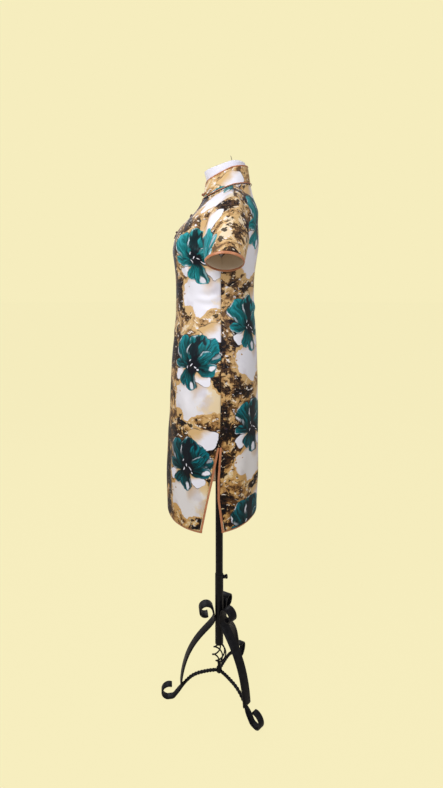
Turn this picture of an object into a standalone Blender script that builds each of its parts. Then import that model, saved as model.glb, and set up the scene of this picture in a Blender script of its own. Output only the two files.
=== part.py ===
"""A short-sleeved cheongsam on a limbless dress form, on a wrought-iron tripod stand with a telescopic pole.

Metres, +Z up, the front of the dress faces -Y and the wearer's left is +X. Tables give heights from the
floor and Y from the pole's axis; the parent empty then centres the whole object on the origin.
"""

import math

import bmesh
import bpy
import numpy as np
from mathutils import Vector

# ---------------------------------------------------------------- driving sizes
CLOTH = 0.0015  # wall of the sewn panels
BINDING = 0.0021  # wall of the satin bindings
SEAM = 0.0003  # gap that neighbouring pieces keep
HEM_BAND = 0.005  # width of the binding along the hem
SLIT_BAND = 0.008  # width of the binding down the side slits
CUFF_BAND = 0.006  # width of the binding round a sleeve's opening
COLLAR_EDGE = 0.0018  # radius of the rolled binding along the collar's top
PIPING = 0.0011  # radius of the piping at the collar seam and the overlap
FROG_CORD = 0.0013  # radius of a fastening's cord
FROG_KNOT = 0.0032  # radius of its knotted button

SLIT_TOP = 0.920  # height where the side slits begin
COLLAR_HEIGHT = 0.051
FORM_CLEARANCE = 0.0030  # from the form's skin to the cloth round it
FORM_BOTTOM = 0.945
NECK_RISE = 0.067  # how far the form's neck rises past the neckline
NECK_TOP_TILT = -0.16  # the neck's top is nearer level than its base
NECK_FLARE, NECK_FLARE_START = 0.50, 0.044  # its front comes forward by this share of its rise past the collar
STUMP = 0.012  # how far the form's rounded arm stumps swell past the armholes
SOCKET_TOP = 1.100

POLE_RADIUS = 0.0118
SOCKET_RADIUS = POLE_RADIUS + 0.0006
POLE_BOTTOM, POLE_TOP = 0.330, 1.080
TUBE_RADIUS, TUBE_BORE = 0.0134, 0.0121
TUBE_BOTTOM, TUBE_FLOOR, TUBE_TOP = 0.181, 0.186, 0.430
CLAMP_HEIGHT = 0.418
CAGE_BOTTOM, CAGE_RADIUS, CAGE_WIRE = 0.114, 0.0225, 0.0023
HUB_RADIUS, HUB_HEIGHT = 0.0090, 0.083
STRAP_WIDTH, STRAP_THICK = 0.031, 0.005
BAR_SIDE = 0.0085  # the twisted square bar
TWISTED_STEPS, TWIST_STEP = 24, math.radians(45)
FOOT_WIDTH, FOOT_THICK = 0.020, 0.005  # the bar forged flat into its foot scroll
FOOT_FLAT = 0.0012  # the scroll is hammered this much flatter where it stands
LEG_TURNS = (-90.0, 35.0, 145.0)  # the way each leg points, in degrees from +X

COLUMNS = 16  # mesh columns across one panel
SLIT_END = 0.003  # the slit's bindings stop this far below its top
TOP_INSET = 0.008  # a panel's last row stops this share of a level below the shoulder and the neckline
ARMHOLE_INSET = 0.006  # and its sides this share of their width short of the sleeve
UNDERARM_LEVEL = 8  # the tables' row where the armhole begins

# Sections of the front, hem to armhole: the centre line's Y and Z, the side edge's X, Y and Z, the part
# of a quarter ellipse between them in degrees, and the mesh rows up to the next section.
FRONT = {
    "hem": (-0.1610, 0.667, 0.170, -0.0245, 0.667, 90, 3),
    "knee": (-0.1585, 0.800, 0.1705, -0.0230, 0.800, 90, 3),
    "slit": (-0.1525, 0.920, 0.1705, -0.0210, 0.920, 90, 3),
    "hip": (-0.1460, 1.054, 0.1690, -0.0180, 1.054, 90, 2),
    "belly": (-0.1390, 1.163, 0.1590, -0.0160, 1.163, 90, 2),
    "high_hip": (-0.1300, 1.235, 0.1460, -0.0140, 1.235, 90, 2),
    "waist": (-0.1260, 1.318, 0.1340, -0.0130, 1.318, 90, 2),
    "rib": (-0.1270, 1.375, 0.1390, -0.0140, 1.375, 90, 2),
    "underarm": (-0.1310, 1.428, 0.1500, -0.0140, 1.428, 90, 2),
    "low_armhole": (-0.1320, 1.466, 0.1500, -0.0440, 1.455, 76, 2),
    "mid_armhole": (-0.1165, 1.512, 0.1560, -0.0550, 1.495, 62, 2),
    "high_armhole": (-0.0680, 1.562, 0.1680, -0.0360, 1.545, 50, 4),
}
# The same for the back.
BACK = {
    "hem": (0.1150, 0.680, 0.170, -0.0245, 0.667, 90, 3),
    "knee": (0.1155, 0.804, 0.1705, -0.0230, 0.800, 90, 3),
    "slit": (0.1150, 0.920, 0.1705, -0.0210, 0.920, 90, 3),
    "hip": (0.1130, 1.054, 0.1690, -0.0180, 1.054, 90, 2),
    "belly": (0.1095, 1.163, 0.1590, -0.0160, 1.163, 90, 2),
    "high_hip": (0.1050, 1.235, 0.1460, -0.0140, 1.235, 90, 2),
    "waist": (0.1000, 1.318, 0.1340, -0.0130, 1.318, 90, 2),
    "rib": (0.1000, 1.375, 0.1390, -0.0140, 1.375, 90, 2),
    "underarm": (0.1060, 1.428, 0.1500, -0.0140, 1.428, 90, 2),
    "low_armhole": (0.1120, 1.470, 0.1500, 0.0220, 1.455, 76, 2),
    "mid_armhole": (0.1065, 1.522, 0.1560, 0.0470, 1.498, 66, 2),
    "high_armhole": (0.1010, 1.575, 0.1690, 0.0460, 1.545, 58, 4),
}
NECK_FRONT = (0.0, -0.045, 1.598)
NECK_BACK = (0.0, 0.089, 1.640)
NECK_SIDE = (0.066, 0.030, 1.628)
SHOULDER_TIP = (0.180, 0.014, 1.574)
NECK_SHARE = 0.45  # share of a panel's top edge that is neckline; the rest is shoulder seam

QUARTER_SECTION = 0.245  # length round a quarter of the skirt, between the side seam and the centre line

# The slit's two edges, in degrees round the section from the side seam: height, front edge, back edge.
SLIT_EDGES = ((0.667, -19.5, 4.0), (0.765, -12.0, -1.5), (0.823, -7.0, -2.0), (0.920, 0.0, 0.0))

# Fullness that the bust darts give the front, each side: place, spread and depth.
BUST_X, BUST_Z, BUST_WIDE, BUST_HIGH, BUST_DEEP = 0.078, 1.452, 0.045, 0.042, 0.009

# The sleeve's opening: its middle, and half-vectors to its outer rim and its front corner.
CUFF_MIDDLE = (0.2270, -0.0165, 1.4075)
CUFF_OUT = (0.0360, 0.0, 0.0185)
CUFF_FRONT = (-0.0030, -0.0460, 0.0030)
CUFF_POINT = 1.3  # above 1 narrows the front corner to a point
SLEEVE_PUFF = 0.010
SLEEVE_RINGS, SLEEVE_AROUND = 5, 20

# The overlap's edge across the chest, seen from the front: X and Z of a Bezier from neck to underarm.
OVERLAP = ((0.0005, 1.612), (0.034, 1.530), (-0.020, 1.486), (-0.170, 1.436))

# A leg in its own upright plane: R from the pole's axis and Z.
STRAP_LINE = (
    (0.0168, 0.288), (0.0190, 0.271), (0.0320, 0.254), (0.0475, 0.238), (0.0640, 0.220), (0.0810, 0.198),
    (0.0965, 0.172), (0.1080, 0.146), (0.1170, 0.117), (0.1230, 0.090), (0.1265, 0.066), (0.1285, 0.0475),
)
STRAP_SCROLL = (0.045, 0.308, 0.0170, 0.0225, -115.0, 168.0)  # middle R, Z, first and last radius and angle
BAR_LINE = (
    (HUB_RADIUS + SEAM, HUB_HEIGHT), (0.0300, 0.0835), (0.0520, 0.0820), (0.0750, 0.0780), (0.0940, 0.0695),
    (0.1100, 0.0560), (0.1240, 0.0405), (0.1380, 0.0235),
)
FOOT_SCROLL = (0.167, 0.030, 0.0275, 0.0195, -125.0, 115.0)


# ---------------------------------------------------------------- scene, materials, objects
def clear_scene():
    for obj in list(bpy.data.objects):
        bpy.data.objects.remove(obj)


def material(name, colour, roughness, metallic=0.0):
    made = bpy.data.materials.new(name)
    made.use_nodes = True
    shader = made.node_tree.nodes["Principled BSDF"]
    shader.inputs["Base Color"].default_value = (*colour, 1.0)
    shader.inputs["Roughness"].default_value = roughness
    shader.inputs["Metallic"].default_value = metallic
    return made


clear_scene()
DRESS_GROUP = bpy.data.collections.new("cheongsam_on_form")
CUTTER_GROUP = bpy.data.collections.new("cutters")
bpy.context.scene.collection.children.link(DRESS_GROUP)
bpy.context.scene.collection.children.link(CUTTER_GROUP)
ROOT = bpy.data.objects.new("pole_axis", None)
DRESS_GROUP.objects.link(ROOT)

PRINT = material("printed_satin", (0.10, 0.36, 0.36), 0.42)
COPPER = material("copper_satin", (0.48, 0.17, 0.06), 0.35)
WINE = material("wine_cord", (0.14, 0.01, 0.02), 0.45)
JERSEY = material("white_jersey", (0.80, 0.80, 0.86), 0.85)
IRON = material("black_iron", (0.012, 0.011, 0.013), 0.38, 0.6)
STEEL = material("pin_steel", (0.25, 0.23, 0.22), 0.3, 1.0)


def place(obj, mat, parent=ROOT, group=DRESS_GROUP):
    group.objects.link(obj)
    obj.data.materials.append(mat)
    obj.parent = parent
    return obj


def grid_faces(rings, count, closed):
    """Quads between neighbouring rings of points, and across the ring's own ends when it is closed."""
    steps = count if closed else count - 1
    return [
        (i * count + j, i * count + (j + 1) % count, (i + 1) * count + (j + 1) % count, (i + 1) * count + j)
        for i in range(rings - 1)
        for j in range(steps)
    ]


def mesh_object(name, points, faces, mat, merge=0.0):
    mesh = bpy.data.meshes.new(name)
    mesh.from_pydata([tuple(map(float, p)) for p in points], [], faces)
    bm = bmesh.new()
    bm.from_mesh(mesh)
    if merge:
        bmesh.ops.remove_doubles(bm, verts=bm.verts, dist=merge)
        bmesh.ops.dissolve_degenerate(bm, edges=bm.edges, dist=merge / 4)
    bm.to_mesh(mesh)
    bm.free()
    mesh.shade_smooth()
    return place(bpy.data.objects.new(name, mesh), mat)


def wall(name, grid, thickness, mat, closed=False):
    """A sewn piece: an open surface of points, thickened outwards."""
    grid = np.asarray(grid)
    obj = mesh_object(name, grid.reshape(-1, 3), grid_faces(len(grid), grid.shape[1], closed), mat)
    solid = obj.modifiers.new("cloth", "SOLIDIFY")
    solid.thickness = thickness
    solid.offset = 1.0
    return obj


def face_outwards(mesh, holes=False):
    """Turns a closed mesh's faces out, after filling its open ends if it has them."""
    bm = bmesh.new()
    bm.from_mesh(mesh)
    if holes:
        bmesh.ops.holes_fill(bm, edges=[e for e in bm.edges if e.is_boundary], sides=0)
    bmesh.ops.recalc_face_normals(bm, faces=bm.faces)
    if bm.calc_volume(signed=True) < 0:
        bmesh.ops.reverse_faces(bm, faces=bm.faces)
    bm.to_mesh(mesh)
    bm.free()


def lofted(name, rings, mat):
    """A closed solid through rings of points."""
    rings = np.asarray(rings)
    count = rings.shape[1]
    faces = grid_faces(len(rings), count, True)
    last = (len(rings) - 1) * count
    faces.append(tuple(reversed(range(count))))
    faces.append(tuple(range(last, last + count)))
    return mesh_object(name, rings.reshape(-1, 3), faces, mat)


def cord(name, points, radius, mat, cyclic=False, roundness=1):
    curve = bpy.data.curves.new(name, "CURVE")
    curve.dimensions = "3D"
    curve.bevel_depth = radius
    curve.bevel_resolution = roundness
    curve.use_fill_caps = True
    line = curve.splines.new("POLY")
    line.points.add(len(points) - 1)
    for point, at in zip(line.points, points):
        point.co = (*map(float, at), 1.0)
    line.use_cyclic_u = cyclic
    return place(bpy.data.objects.new(name, curve), mat)


def turned(name, profile, mat, segments=24, closed=False, group=DRESS_GROUP):
    """A profile of (radius, height), turned about its local Z."""
    count = len(profile)
    edges = [(i, (i + 1) % count) for i in range(count if closed else count - 1)]
    mesh = bpy.data.meshes.new(name)
    mesh.from_pydata([(r, 0.0, z) for r, z in profile], edges, [])
    obj = place(bpy.data.objects.new(name, mesh), mat, group=group)
    screw = obj.modifiers.new("turn", "SCREW")
    screw.steps = screw.render_steps = segments
    screw.use_merge_vertices = True
    screw.merge_threshold = 1e-5
    screw.use_smooth_shade = True
    return obj


def rod_profile(radius, low, high):
    return ((0.0, high), (radius, high), (radius, low), (0.0, low))


def sleeve_profile(inner, outer, low, high):
    return ((outer, high), (outer, low), (inner, low), (inner, high))


def cut(obj, cutter, operation="DIFFERENCE"):
    cutter.hide_render = True
    cutter.display_type = "WIRE"
    made = obj.modifiers.new(cutter.name, "BOOLEAN")
    made.operation = operation
    made.object = cutter


# ---------------------------------------------------------------- curves and the garment's surface
def smooth_line(points, steps):
    """A Catmull-Rom curve through the points, with that many steps in each span."""
    points = np.asarray(points, float)
    slopes = np.gradient(points, axis=0)
    at = np.linspace(0, len(points) - 1, (len(points) - 1) * steps + 1)
    return hermite(points, slopes, at)


def hermite(points, leaving, at, arriving=None):
    """A cubic through the points, with the slopes it leaves them at and, where those differ, arrives at."""
    arriving = leaving if arriving is None else arriving
    i = np.clip(at.astype(int), 0, len(points) - 2)
    u = (at - i).reshape(-1, *[1] * (points.ndim - 1))
    return (
        (1 + 2 * u) * (1 - u) ** 2 * points[i]
        + u * (1 - u) ** 2 * leaving[i]
        + u**2 * (3 - 2 * u) * points[i + 1]
        + u**2 * (u - 1) * arriving[i + 1]
    )


def section_curve(row, s):
    """One section across a panel: s runs from -1 at the wearer's right edge to 1 at the left."""
    centre_y, centre_z, edge_x, edge_y, edge_z, turn, _ = row
    turn = math.radians(turn)
    share = np.abs(s)
    across = np.sin(share * turn) / math.sin(turn)
    back = (1 - np.cos(share * turn)) / (1 - math.cos(turn))
    x = np.sign(s) * edge_x * across**0.96
    return np.stack([x, centre_y + (edge_y - centre_y) * back, centre_z + (edge_z - centre_z) * share**2], -1)


def top_curve(neck, s):
    """A panel's top edge: half the neckline, then the shoulder seams."""
    share = np.abs(s)
    a = np.clip(share / NECK_SHARE, 0, 1) * math.pi / 2
    neck, side, tip = np.array(neck), np.array(NECK_SIDE), np.array(SHOULDER_TIP)
    x = side[0] * np.sin(a)
    rest = neck[1:] + (side - neck)[1:] * (1 - np.cos(a))[:, None]
    along = np.clip((share - NECK_SHARE) / (1 - NECK_SHARE), 0, 1)[:, None]
    points = np.concatenate([x[:, None], rest], 1) + (tip - side) * along
    points[:, 0] *= np.where(s < 0, -1, 1)
    return points


def rows_of(table, neck, s):
    return np.stack([section_curve(row, s) for row in table.values()] + [top_curve(neck, s)])


def panel_points(side, s, levels):
    """Points of the front or the back: level 0 is the hem, and each section of the table is one level."""
    table, neck, other, other_neck = (
        (FRONT, NECK_FRONT, BACK, NECK_BACK) if side == "front" else (BACK, NECK_BACK, FRONT, NECK_FRONT)
    )
    s = np.asarray(s, float)
    points = rows_of(table, neck, s)
    slopes = np.gradient(points, axis=0)
    # Along the shoulder seam, the surface runs on smoothly over the shoulder to the other panel.
    over = (rows_of(other, other_neck, s)[-2] - points[-2]) / 2
    blend = np.clip((np.abs(s) - 0.3) / 0.3, 0, 1)[:, None]
    slopes[-1] = slopes[-1] * (1 - blend) + over * blend
    # The side seam runs straight up to the underarm, and the armhole turns away from there.
    arriving = slopes.copy()
    corner = np.abs(s)[:, None] ** 6
    straight = points[UNDERARM_LEVEL] - points[UNDERARM_LEVEL - 1]
    arriving[UNDERARM_LEVEL] += (straight - slopes[UNDERARM_LEVEL]) * corner
    grid = hermite(points, slopes, np.asarray(levels, float), arriving)
    if side == "front":
        x, z = grid[..., 0], grid[..., 2]
        near = np.exp(-(((np.abs(x) - BUST_X) / BUST_WIDE) ** 2) - ((z - BUST_Z) / BUST_HIGH) ** 2)
        grid[..., 1] -= BUST_DEEP * near
    return grid


def edge_height(level):
    """Height of the side edge at a level."""
    return panel_points("front", [1.0], [level])[0, 0, 2]


def level_of_height(height):
    """The level where the side edge stands at this height."""
    levels = np.linspace(0, UNDERARM_LEVEL, 321)
    edge = panel_points("front", [1.0], levels)[:, 0, 2]
    return float(np.interp(height, edge, levels))


def skirt_levels():
    """Mesh rows beside the slits, from the top of the hem's binding to just under the top of the slit."""
    low = level_of_height(FRONT["hem"][1] + HEM_BAND + SEAM)
    high = level_of_height(SLIT_TOP - SLIT_END)
    counts = (FRONT["hem"][-1], FRONT["knee"][-1])
    rows = [number + k / count for number, count in enumerate(counts) for k in range(count)]
    return np.array([low] + [level for level in rows if low < level < high] + [high])


def panel_levels():
    """Mesh rows of a whole panel, following each section's own count."""
    rows = [
        number + k / row[-1]
        for number, row in enumerate(FRONT.values())
        if number >= 2
        for k in range(row[-1])
    ]
    return np.concatenate([skirt_levels(), rows, [len(FRONT) - TOP_INSET]])


def slit_share(side, heights, band=0.0):
    """How far out a panel reaches, 1 at the side seam, at each height, less a band's width."""
    column = 1 if side == "front" else 2
    z = [row[0] for row in SLIT_EDGES]
    degrees = np.interp(heights, z, [row[column] for row in SLIT_EDGES])
    toward = degrees if side == "front" else -degrees
    share = 1 + toward / 90 - np.where(np.asarray(heights) < SLIT_TOP, band, 0.0) / QUARTER_SECTION
    return share - SEAM / QUARTER_SECTION


def panel_grid(side):
    """The points of a whole front or back, short of its seams and bindings."""
    across = np.linspace(-1, 1, COLUMNS + 1) * (1 if side == "front" else -1)
    grid = []
    for level in panel_levels():
        in_skirt = level < UNDERARM_LEVEL
        reach = slit_share(side, edge_height(level), SLIT_BAND) if in_skirt else 1 - ARMHOLE_INSET
        grid.append(panel_points(side, across * reach, [level])[0])
    return np.array(grid)


def hem_band(side):
    """The binding down one slit, along the hem and up the other slit: its two edges."""
    levels = skirt_levels()[::-1]
    heights = np.array([edge_height(level) for level in levels])
    levels[-1] = level_of_height(FRONT["hem"][1] + HEM_BAND)
    inner = slit_share(side, heights, SLIT_BAND - SEAM)
    outer = slit_share(side, heights)
    across = np.linspace(1, -1, COLUMNS + 1)[1:-1]
    along = np.concatenate([np.ones(len(levels)), across, -np.ones(len(levels))])
    inner = np.concatenate([inner, np.full(len(across), inner[-1]), inner[::-1]]) * along
    outer = np.concatenate([outer, np.full(len(across), outer[-1]), outer[::-1]]) * along
    rise = np.concatenate([levels, np.full(len(across), levels[-1]), levels[::-1]])
    fall = np.where(rise == levels[-1], 0.0, rise)
    lines = [
        np.array([panel_points(side, [s], [level])[0, 0] for s, level in zip(shares, rows)])
        for shares, rows in ((outer, fall), (inner, rise))
    ]
    return np.array(lines) if side == "back" else np.array(lines)[:, ::-1]


def outward(points):
    """Unit normals of a grid of surface points, found from their neighbours."""
    normal = np.cross(np.gradient(points, axis=1), np.gradient(points, axis=0))
    return normal / np.linalg.norm(normal, axis=-1, keepdims=True)


# ---------------------------------------------------------------- panels, overlap and hem bindings
def overlap_line(count):
    t = np.linspace(0, 1, count)[:, None]
    a, b, c, d = (np.array(p) for p in OVERLAP)
    return (1 - t) ** 3 * a + 3 * t * (1 - t) ** 2 * b + 3 * t**2 * (1 - t) * c + t**3 * d


def overlap_cutter(name, shift):
    """A block behind and above the overlap's edge, on the wearer's right, moved sideways and up."""
    line = overlap_line(20)
    corners = [(-0.30, OVERLAP[-1][1]), (-0.30, 1.75), (OVERLAP[0][0], 1.75)]
    outline = np.concatenate([line, corners]) + shift
    front = [(x, -0.30, z) for x, z in outline]
    back = [(x, 0.20, z) for x, z in outline]
    count = len(outline)
    faces = [(i, (i + 1) % count, count + (i + 1) % count, count + i) for i in range(count)]
    faces += [tuple(reversed(range(count))), tuple(range(count, 2 * count))]
    obj = mesh_object(name, front + back, faces, PRINT)
    face_outwards(obj.data)
    DRESS_GROUP.objects.unlink(obj)
    CUTTER_GROUP.objects.link(obj)
    return obj


CHEST = panel_points("front", np.linspace(-1, 1, 81), np.linspace(UNDERARM_LEVEL, len(FRONT), 81))
CHEST_NORMALS = outward(CHEST)


def front_surface_point(x, z):
    """The front's surface above the underarm at this X and Z, and its outward normal."""
    miss = (CHEST[..., 0] - x) ** 2 + (CHEST[..., 2] - z) ** 2
    i, j = np.unravel_index(np.argmin(miss), miss.shape)
    point, normal = CHEST[i, j], CHEST_NORMALS[i, j]
    y = point[1] - ((x - point[0]) * normal[0] + (z - point[2]) * normal[2]) / normal[1]
    return np.array([x, y, z]), normal


def overlap_on_surface(count, lift):
    """The overlap's edge, laid on the front and lifted off it."""
    found = [front_surface_point(x, z) for x, z in overlap_line(count) if abs(x) < 0.147]
    return np.array([p + n * lift for p, n in found])


def build_panels():
    front = panel_grid("front")
    main = wall("front_panel", front, CLOTH, PRINT)
    cut(main, overlap_cutter("cut_above_overlap", (0.0, 0.0)))
    lap = wall("right_underlap", front, CLOTH, PRINT)
    cut(lap, overlap_cutter("keep_above_overlap", (-SEAM, SEAM)), "INTERSECT")
    wall("back_panel", panel_grid("back"), CLOTH, PRINT)
    wall("front_hem_binding", hem_band("front"), BINDING, COPPER)
    wall("back_hem_binding", hem_band("back"), BINDING, COPPER)
    edge = overlap_on_surface(26, CLOTH + PIPING + 2 * SEAM)[2:]
    cord("overlap_piping", edge, PIPING, WINE)


# ---------------------------------------------------------------- sleeves
def armhole(side):
    """The armhole's edge from the shoulder tip, down the front, up the back."""
    half = SLEEVE_AROUND // 2
    levels = 8 + 4 * np.linspace(1, 0, half + 1)
    front = panel_points("front", [1.0], levels)[:, 0]
    back = panel_points("back", [1.0], levels[::-1])[:, 0]
    ring = np.concatenate([front, back[1:-1]])
    return ring * [side, 1, 1]


def cuff(side):
    turn = np.linspace(0, 2 * math.pi, SLEEVE_AROUND, endpoint=False)
    middle, out, front = np.array(CUFF_MIDDLE), np.array(CUFF_OUT), np.array(CUFF_FRONT)
    across = np.cos(turn)
    pointed = np.sign(across) * np.abs(across) ** CUFF_POINT
    across = np.where(np.sin(turn) > 0, pointed, across)
    ring = middle + out * across[:, None] + front * np.sin(turn)[:, None]
    return ring * [side, 1, 1]


def sleeve_ring(side, share):
    """A ring of the sleeve: share 0 at the armhole and 1 at the opening, one value a point or one for all."""
    top, end = armhole(side), cuff(side)
    turn = np.linspace(0, 2 * math.pi, SLEEVE_AROUND, endpoint=False)
    share = np.broadcast_to(share, SLEEVE_AROUND)[:, None]
    ring = top + (end - top) * share
    middle = top.mean(0) + (end.mean(0) - top.mean(0)) * share
    away = ring - middle
    away /= np.linalg.norm(away, axis=1, keepdims=True)
    puff = SLEEVE_PUFF * (0.15 + 0.85 * np.cos(turn / 2) ** 2)[:, None] * np.sin(math.pi * share) ** 0.8
    return ring + away * puff


def build_sleeve(name, side):
    length = np.linalg.norm(cuff(side) - armhole(side), axis=1)
    turn = np.linspace(0, 2 * math.pi, SLEEVE_AROUND, endpoint=False)
    under = (0.5 - 0.5 * np.cos(turn)) ** 2
    start = (0.0010 + 0.0030 * under) / length
    finish = 1 - (CUFF_BAND + SEAM) / length
    shares = [start + (finish - start) * f for f in np.linspace(0, 1, SLEEVE_RINGS + 1)]
    rings = [sleeve_ring(side, share) for share in shares]
    band = [sleeve_ring(side, 1 - CUFF_BAND / length), sleeve_ring(side, np.ones(SLEEVE_AROUND))]
    if side < 0:
        rings, band = [r[::-1] for r in rings], [r[::-1] for r in band]
    wall(name, np.array(rings)[:, ::-1], CLOTH, PRINT, closed=True)
    wall(name + "_binding", np.array(band)[:, ::-1], BINDING, COPPER, closed=True)


# ---------------------------------------------------------------- collar
def neck_ring(turn, lift=0.0, out=0.0, lean=0.0):
    """The neckline at angles from the centre front, raised, moved out, and drawn in with height."""
    turn = np.asarray(turn, float)
    share = np.abs(turn) / math.pi * 2
    s = np.where(share <= 1, share, 2 - share) * NECK_SHARE
    front = top_curve(NECK_FRONT, s)
    back = top_curve(NECK_BACK, s)
    ring = np.where((share <= 1)[:, None], front, back)
    ring[:, 0] = np.abs(ring[:, 0]) * np.sign(turn)
    middle = np.array([0.0, (NECK_FRONT[1] + NECK_BACK[1]) / 2, 0.0])
    away = (ring - middle) * [1, 1, 0]
    size = np.linalg.norm(away, axis=1, keepdims=True)
    ring = ring + away / size * (out - lean * np.broadcast_to(lift, turn.shape)[:, None])
    ring[:, 2] += lift
    return ring


COLLAR_RADIUS = 0.067  # of the neckline at the centre front, near enough
FASTENING_RISE = 0.016  # of the collar's fastening above the neckline
COLLAR_BASE = 0.0022  # the collar starts this far above the neckline, clear of the panels
COLLAR_LEAN = 0.17  # the collar draws in by this share of its height
COLLAR_GAP = 0.045  # radians each side of the centre front where it stays open
COLLAR_CORNER = 0.26  # radians over which its front corners round down
COLLAR_FRONT = 0.80  # share of the height left at the corners


def collar_lift(turn, share):
    """Height up the collar at each angle, its front corners rounded."""
    corner = np.clip((np.abs(turn) - COLLAR_GAP) / COLLAR_CORNER, 0, 1)
    full = COLLAR_HEIGHT * (COLLAR_FRONT + (1 - COLLAR_FRONT) * np.sqrt(1 - (1 - corner) ** 2))
    return COLLAR_BASE + (full - COLLAR_BASE) * share


def build_collar():
    turn = np.concatenate([np.linspace(COLLAR_GAP, COLLAR_GAP + COLLAR_CORNER, 6)[:-1],
                           np.linspace(COLLAR_GAP + COLLAR_CORNER, math.pi, 13)])
    turn = np.concatenate([turn, -turn[:-1][::-1]])
    rings = [neck_ring(turn, collar_lift(turn, share), 0.0, COLLAR_LEAN) for share in (0.0, 0.33, 0.66, 0.94)]
    wall("collar", np.array(rings), BINDING, PRINT)
    edge = neck_ring(turn, collar_lift(turn, 0.94), BINDING / 2, COLLAR_LEAN)
    away = neck_ring(turn, 0.0, 1.0) - neck_ring(turn, 0.0)
    up = np.cross(away, np.gradient(edge, axis=0))
    edge += up / np.linalg.norm(up, axis=1, keepdims=True) * (COLLAR_EDGE + SEAM)
    cord("collar_top_binding", edge, COLLAR_EDGE, COPPER)
    base = np.concatenate([np.linspace(COLLAR_GAP, math.pi, 17), -np.linspace(math.pi, COLLAR_GAP, 17)[1:]])
    seam = neck_ring(base, 0.0028, BINDING + PIPING + SEAM + 0.0006, 0.0)
    cord("collar_seam_piping", seam, PIPING, COPPER)


# ---------------------------------------------------------------- knotted fastenings
# Along a fastening: its knot, then the near and far ends of its two doubled cords.
COLLAR_SPOTS = (0.0, (0.0048, 0.020), (-0.0048, -0.020))
CHEST_SPOTS = (-0.0052, (0.0032, 0.0165), (-0.0100, -0.0205))
EDGE_POINTS = 61
CHEST_PLACES = (17, 33, 50)  # the points of the overlap's edge that the chest fastenings cross


def fastening(name, surface, mat, spots):
    """A knotted button and two doubled cords lying on the cloth.

    surface(along, across) gives a point on the cloth and its normal; spots has the knot's place along
    the fastening and each doubled cord's near and far end."""
    knot_at, loop, tail = spots
    half = FROG_CORD * 1.1
    for word, (near, far) in (("loop", loop), ("tail", tail)):
        way = 1 if far > near else -1
        run = [(near, -half), ((near + far) / 2, -half), (far - way * half, -half), (far, -half * 0.4)]
        points = []
        for along, across in run + [(along, -across) for along, across in reversed(run)]:
            point, normal = surface(along, across)
            points.append(point + normal * (FROG_CORD + SEAM))
        cord(f"{name}_{word}", points, FROG_CORD, mat)
    mesh = bpy.data.meshes.new(f"{name}_knot")
    bm = bmesh.new()
    bmesh.ops.create_uvsphere(bm, u_segments=10, v_segments=6, radius=FROG_KNOT)
    bm.to_mesh(mesh)
    bm.free()
    mesh.shade_smooth()
    knot = place(bpy.data.objects.new(f"{name}_knot", mesh), mat)
    point, normal = surface(knot_at, 0.0)
    knot.location = Vector(point + normal * (FROG_KNOT + SEAM))


def collar_surface(along, across):
    """A point on the collar's outer face, from the centre front round to the left and up."""
    ring = neck_ring([along / COLLAR_RADIUS, 0.0], FASTENING_RISE + across, 0.0, COLLAR_LEAN)
    away = ring[0] - [0.0, ring[1][1] + COLLAR_RADIUS, ring[0][2]]
    away /= np.linalg.norm(away)
    return ring[0] + away * (BINDING + SEAM), away


def chest_surface(number):
    """The chest round one point of the overlap's edge: along runs square to the edge, to the front panel."""
    line = overlap_line(EDGE_POINTS)
    start, slope = line[number], line[number + 1] - line[number - 1]
    edge = slope / np.linalg.norm(slope)
    square = np.array([-edge[1], edge[0]])

    def surface(along, across):
        x, z = start + square * along + edge * across
        point, normal = front_surface_point(x, z)
        return point + normal * (CLOTH + SEAM), normal

    return surface


def build_fastenings():
    fastening("collar_fastening", collar_surface, COPPER, COLLAR_SPOTS)
    for number, place_on_edge in enumerate(CHEST_PLACES, 1):
        fastening(f"chest_fastening_{number}", chest_surface(place_on_edge), WINE, CHEST_SPOTS)


# ---------------------------------------------------------------- the form
FLANGE = (  # radius and drop below the form
    (0.045, SEAM), (0.045, 0.004), (0.017, 0.006), (0.016, 0.035),
    (SOCKET_RADIUS, 0.035), (SOCKET_RADIUS, SEAM),
)
NECK_DOME = ((0.12, 0.004), (0.35, 0.009), (0.65, 0.013), (0.90, 0.0145))  # inward share and rise of its rings


def form_ring(level):
    """One level of the form: the front, a rounded arm stump, the back, and the other stump."""
    s = np.linspace(-1, 1, COLUMNS + 1)
    front = panel_points("front", s, [level])[0]
    back = panel_points("back", s[::-1], [level])[0]
    share = np.array([0.2, 0.5, 0.8])[:, None]
    fade = np.clip(level - UNDERARM_LEVEL, 0, 1) * np.clip(11.5 - level, 0, 1)
    swell = STUMP * np.sin(math.pi * share) * fade
    left = front[-1] + (back[0] - front[-1]) * share + swell * [1, 0, 0]
    right = back[-1] + (front[0] - back[-1]) * share - swell * [1, 0, 0]
    return np.concatenate([front, left, back, right])


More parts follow.
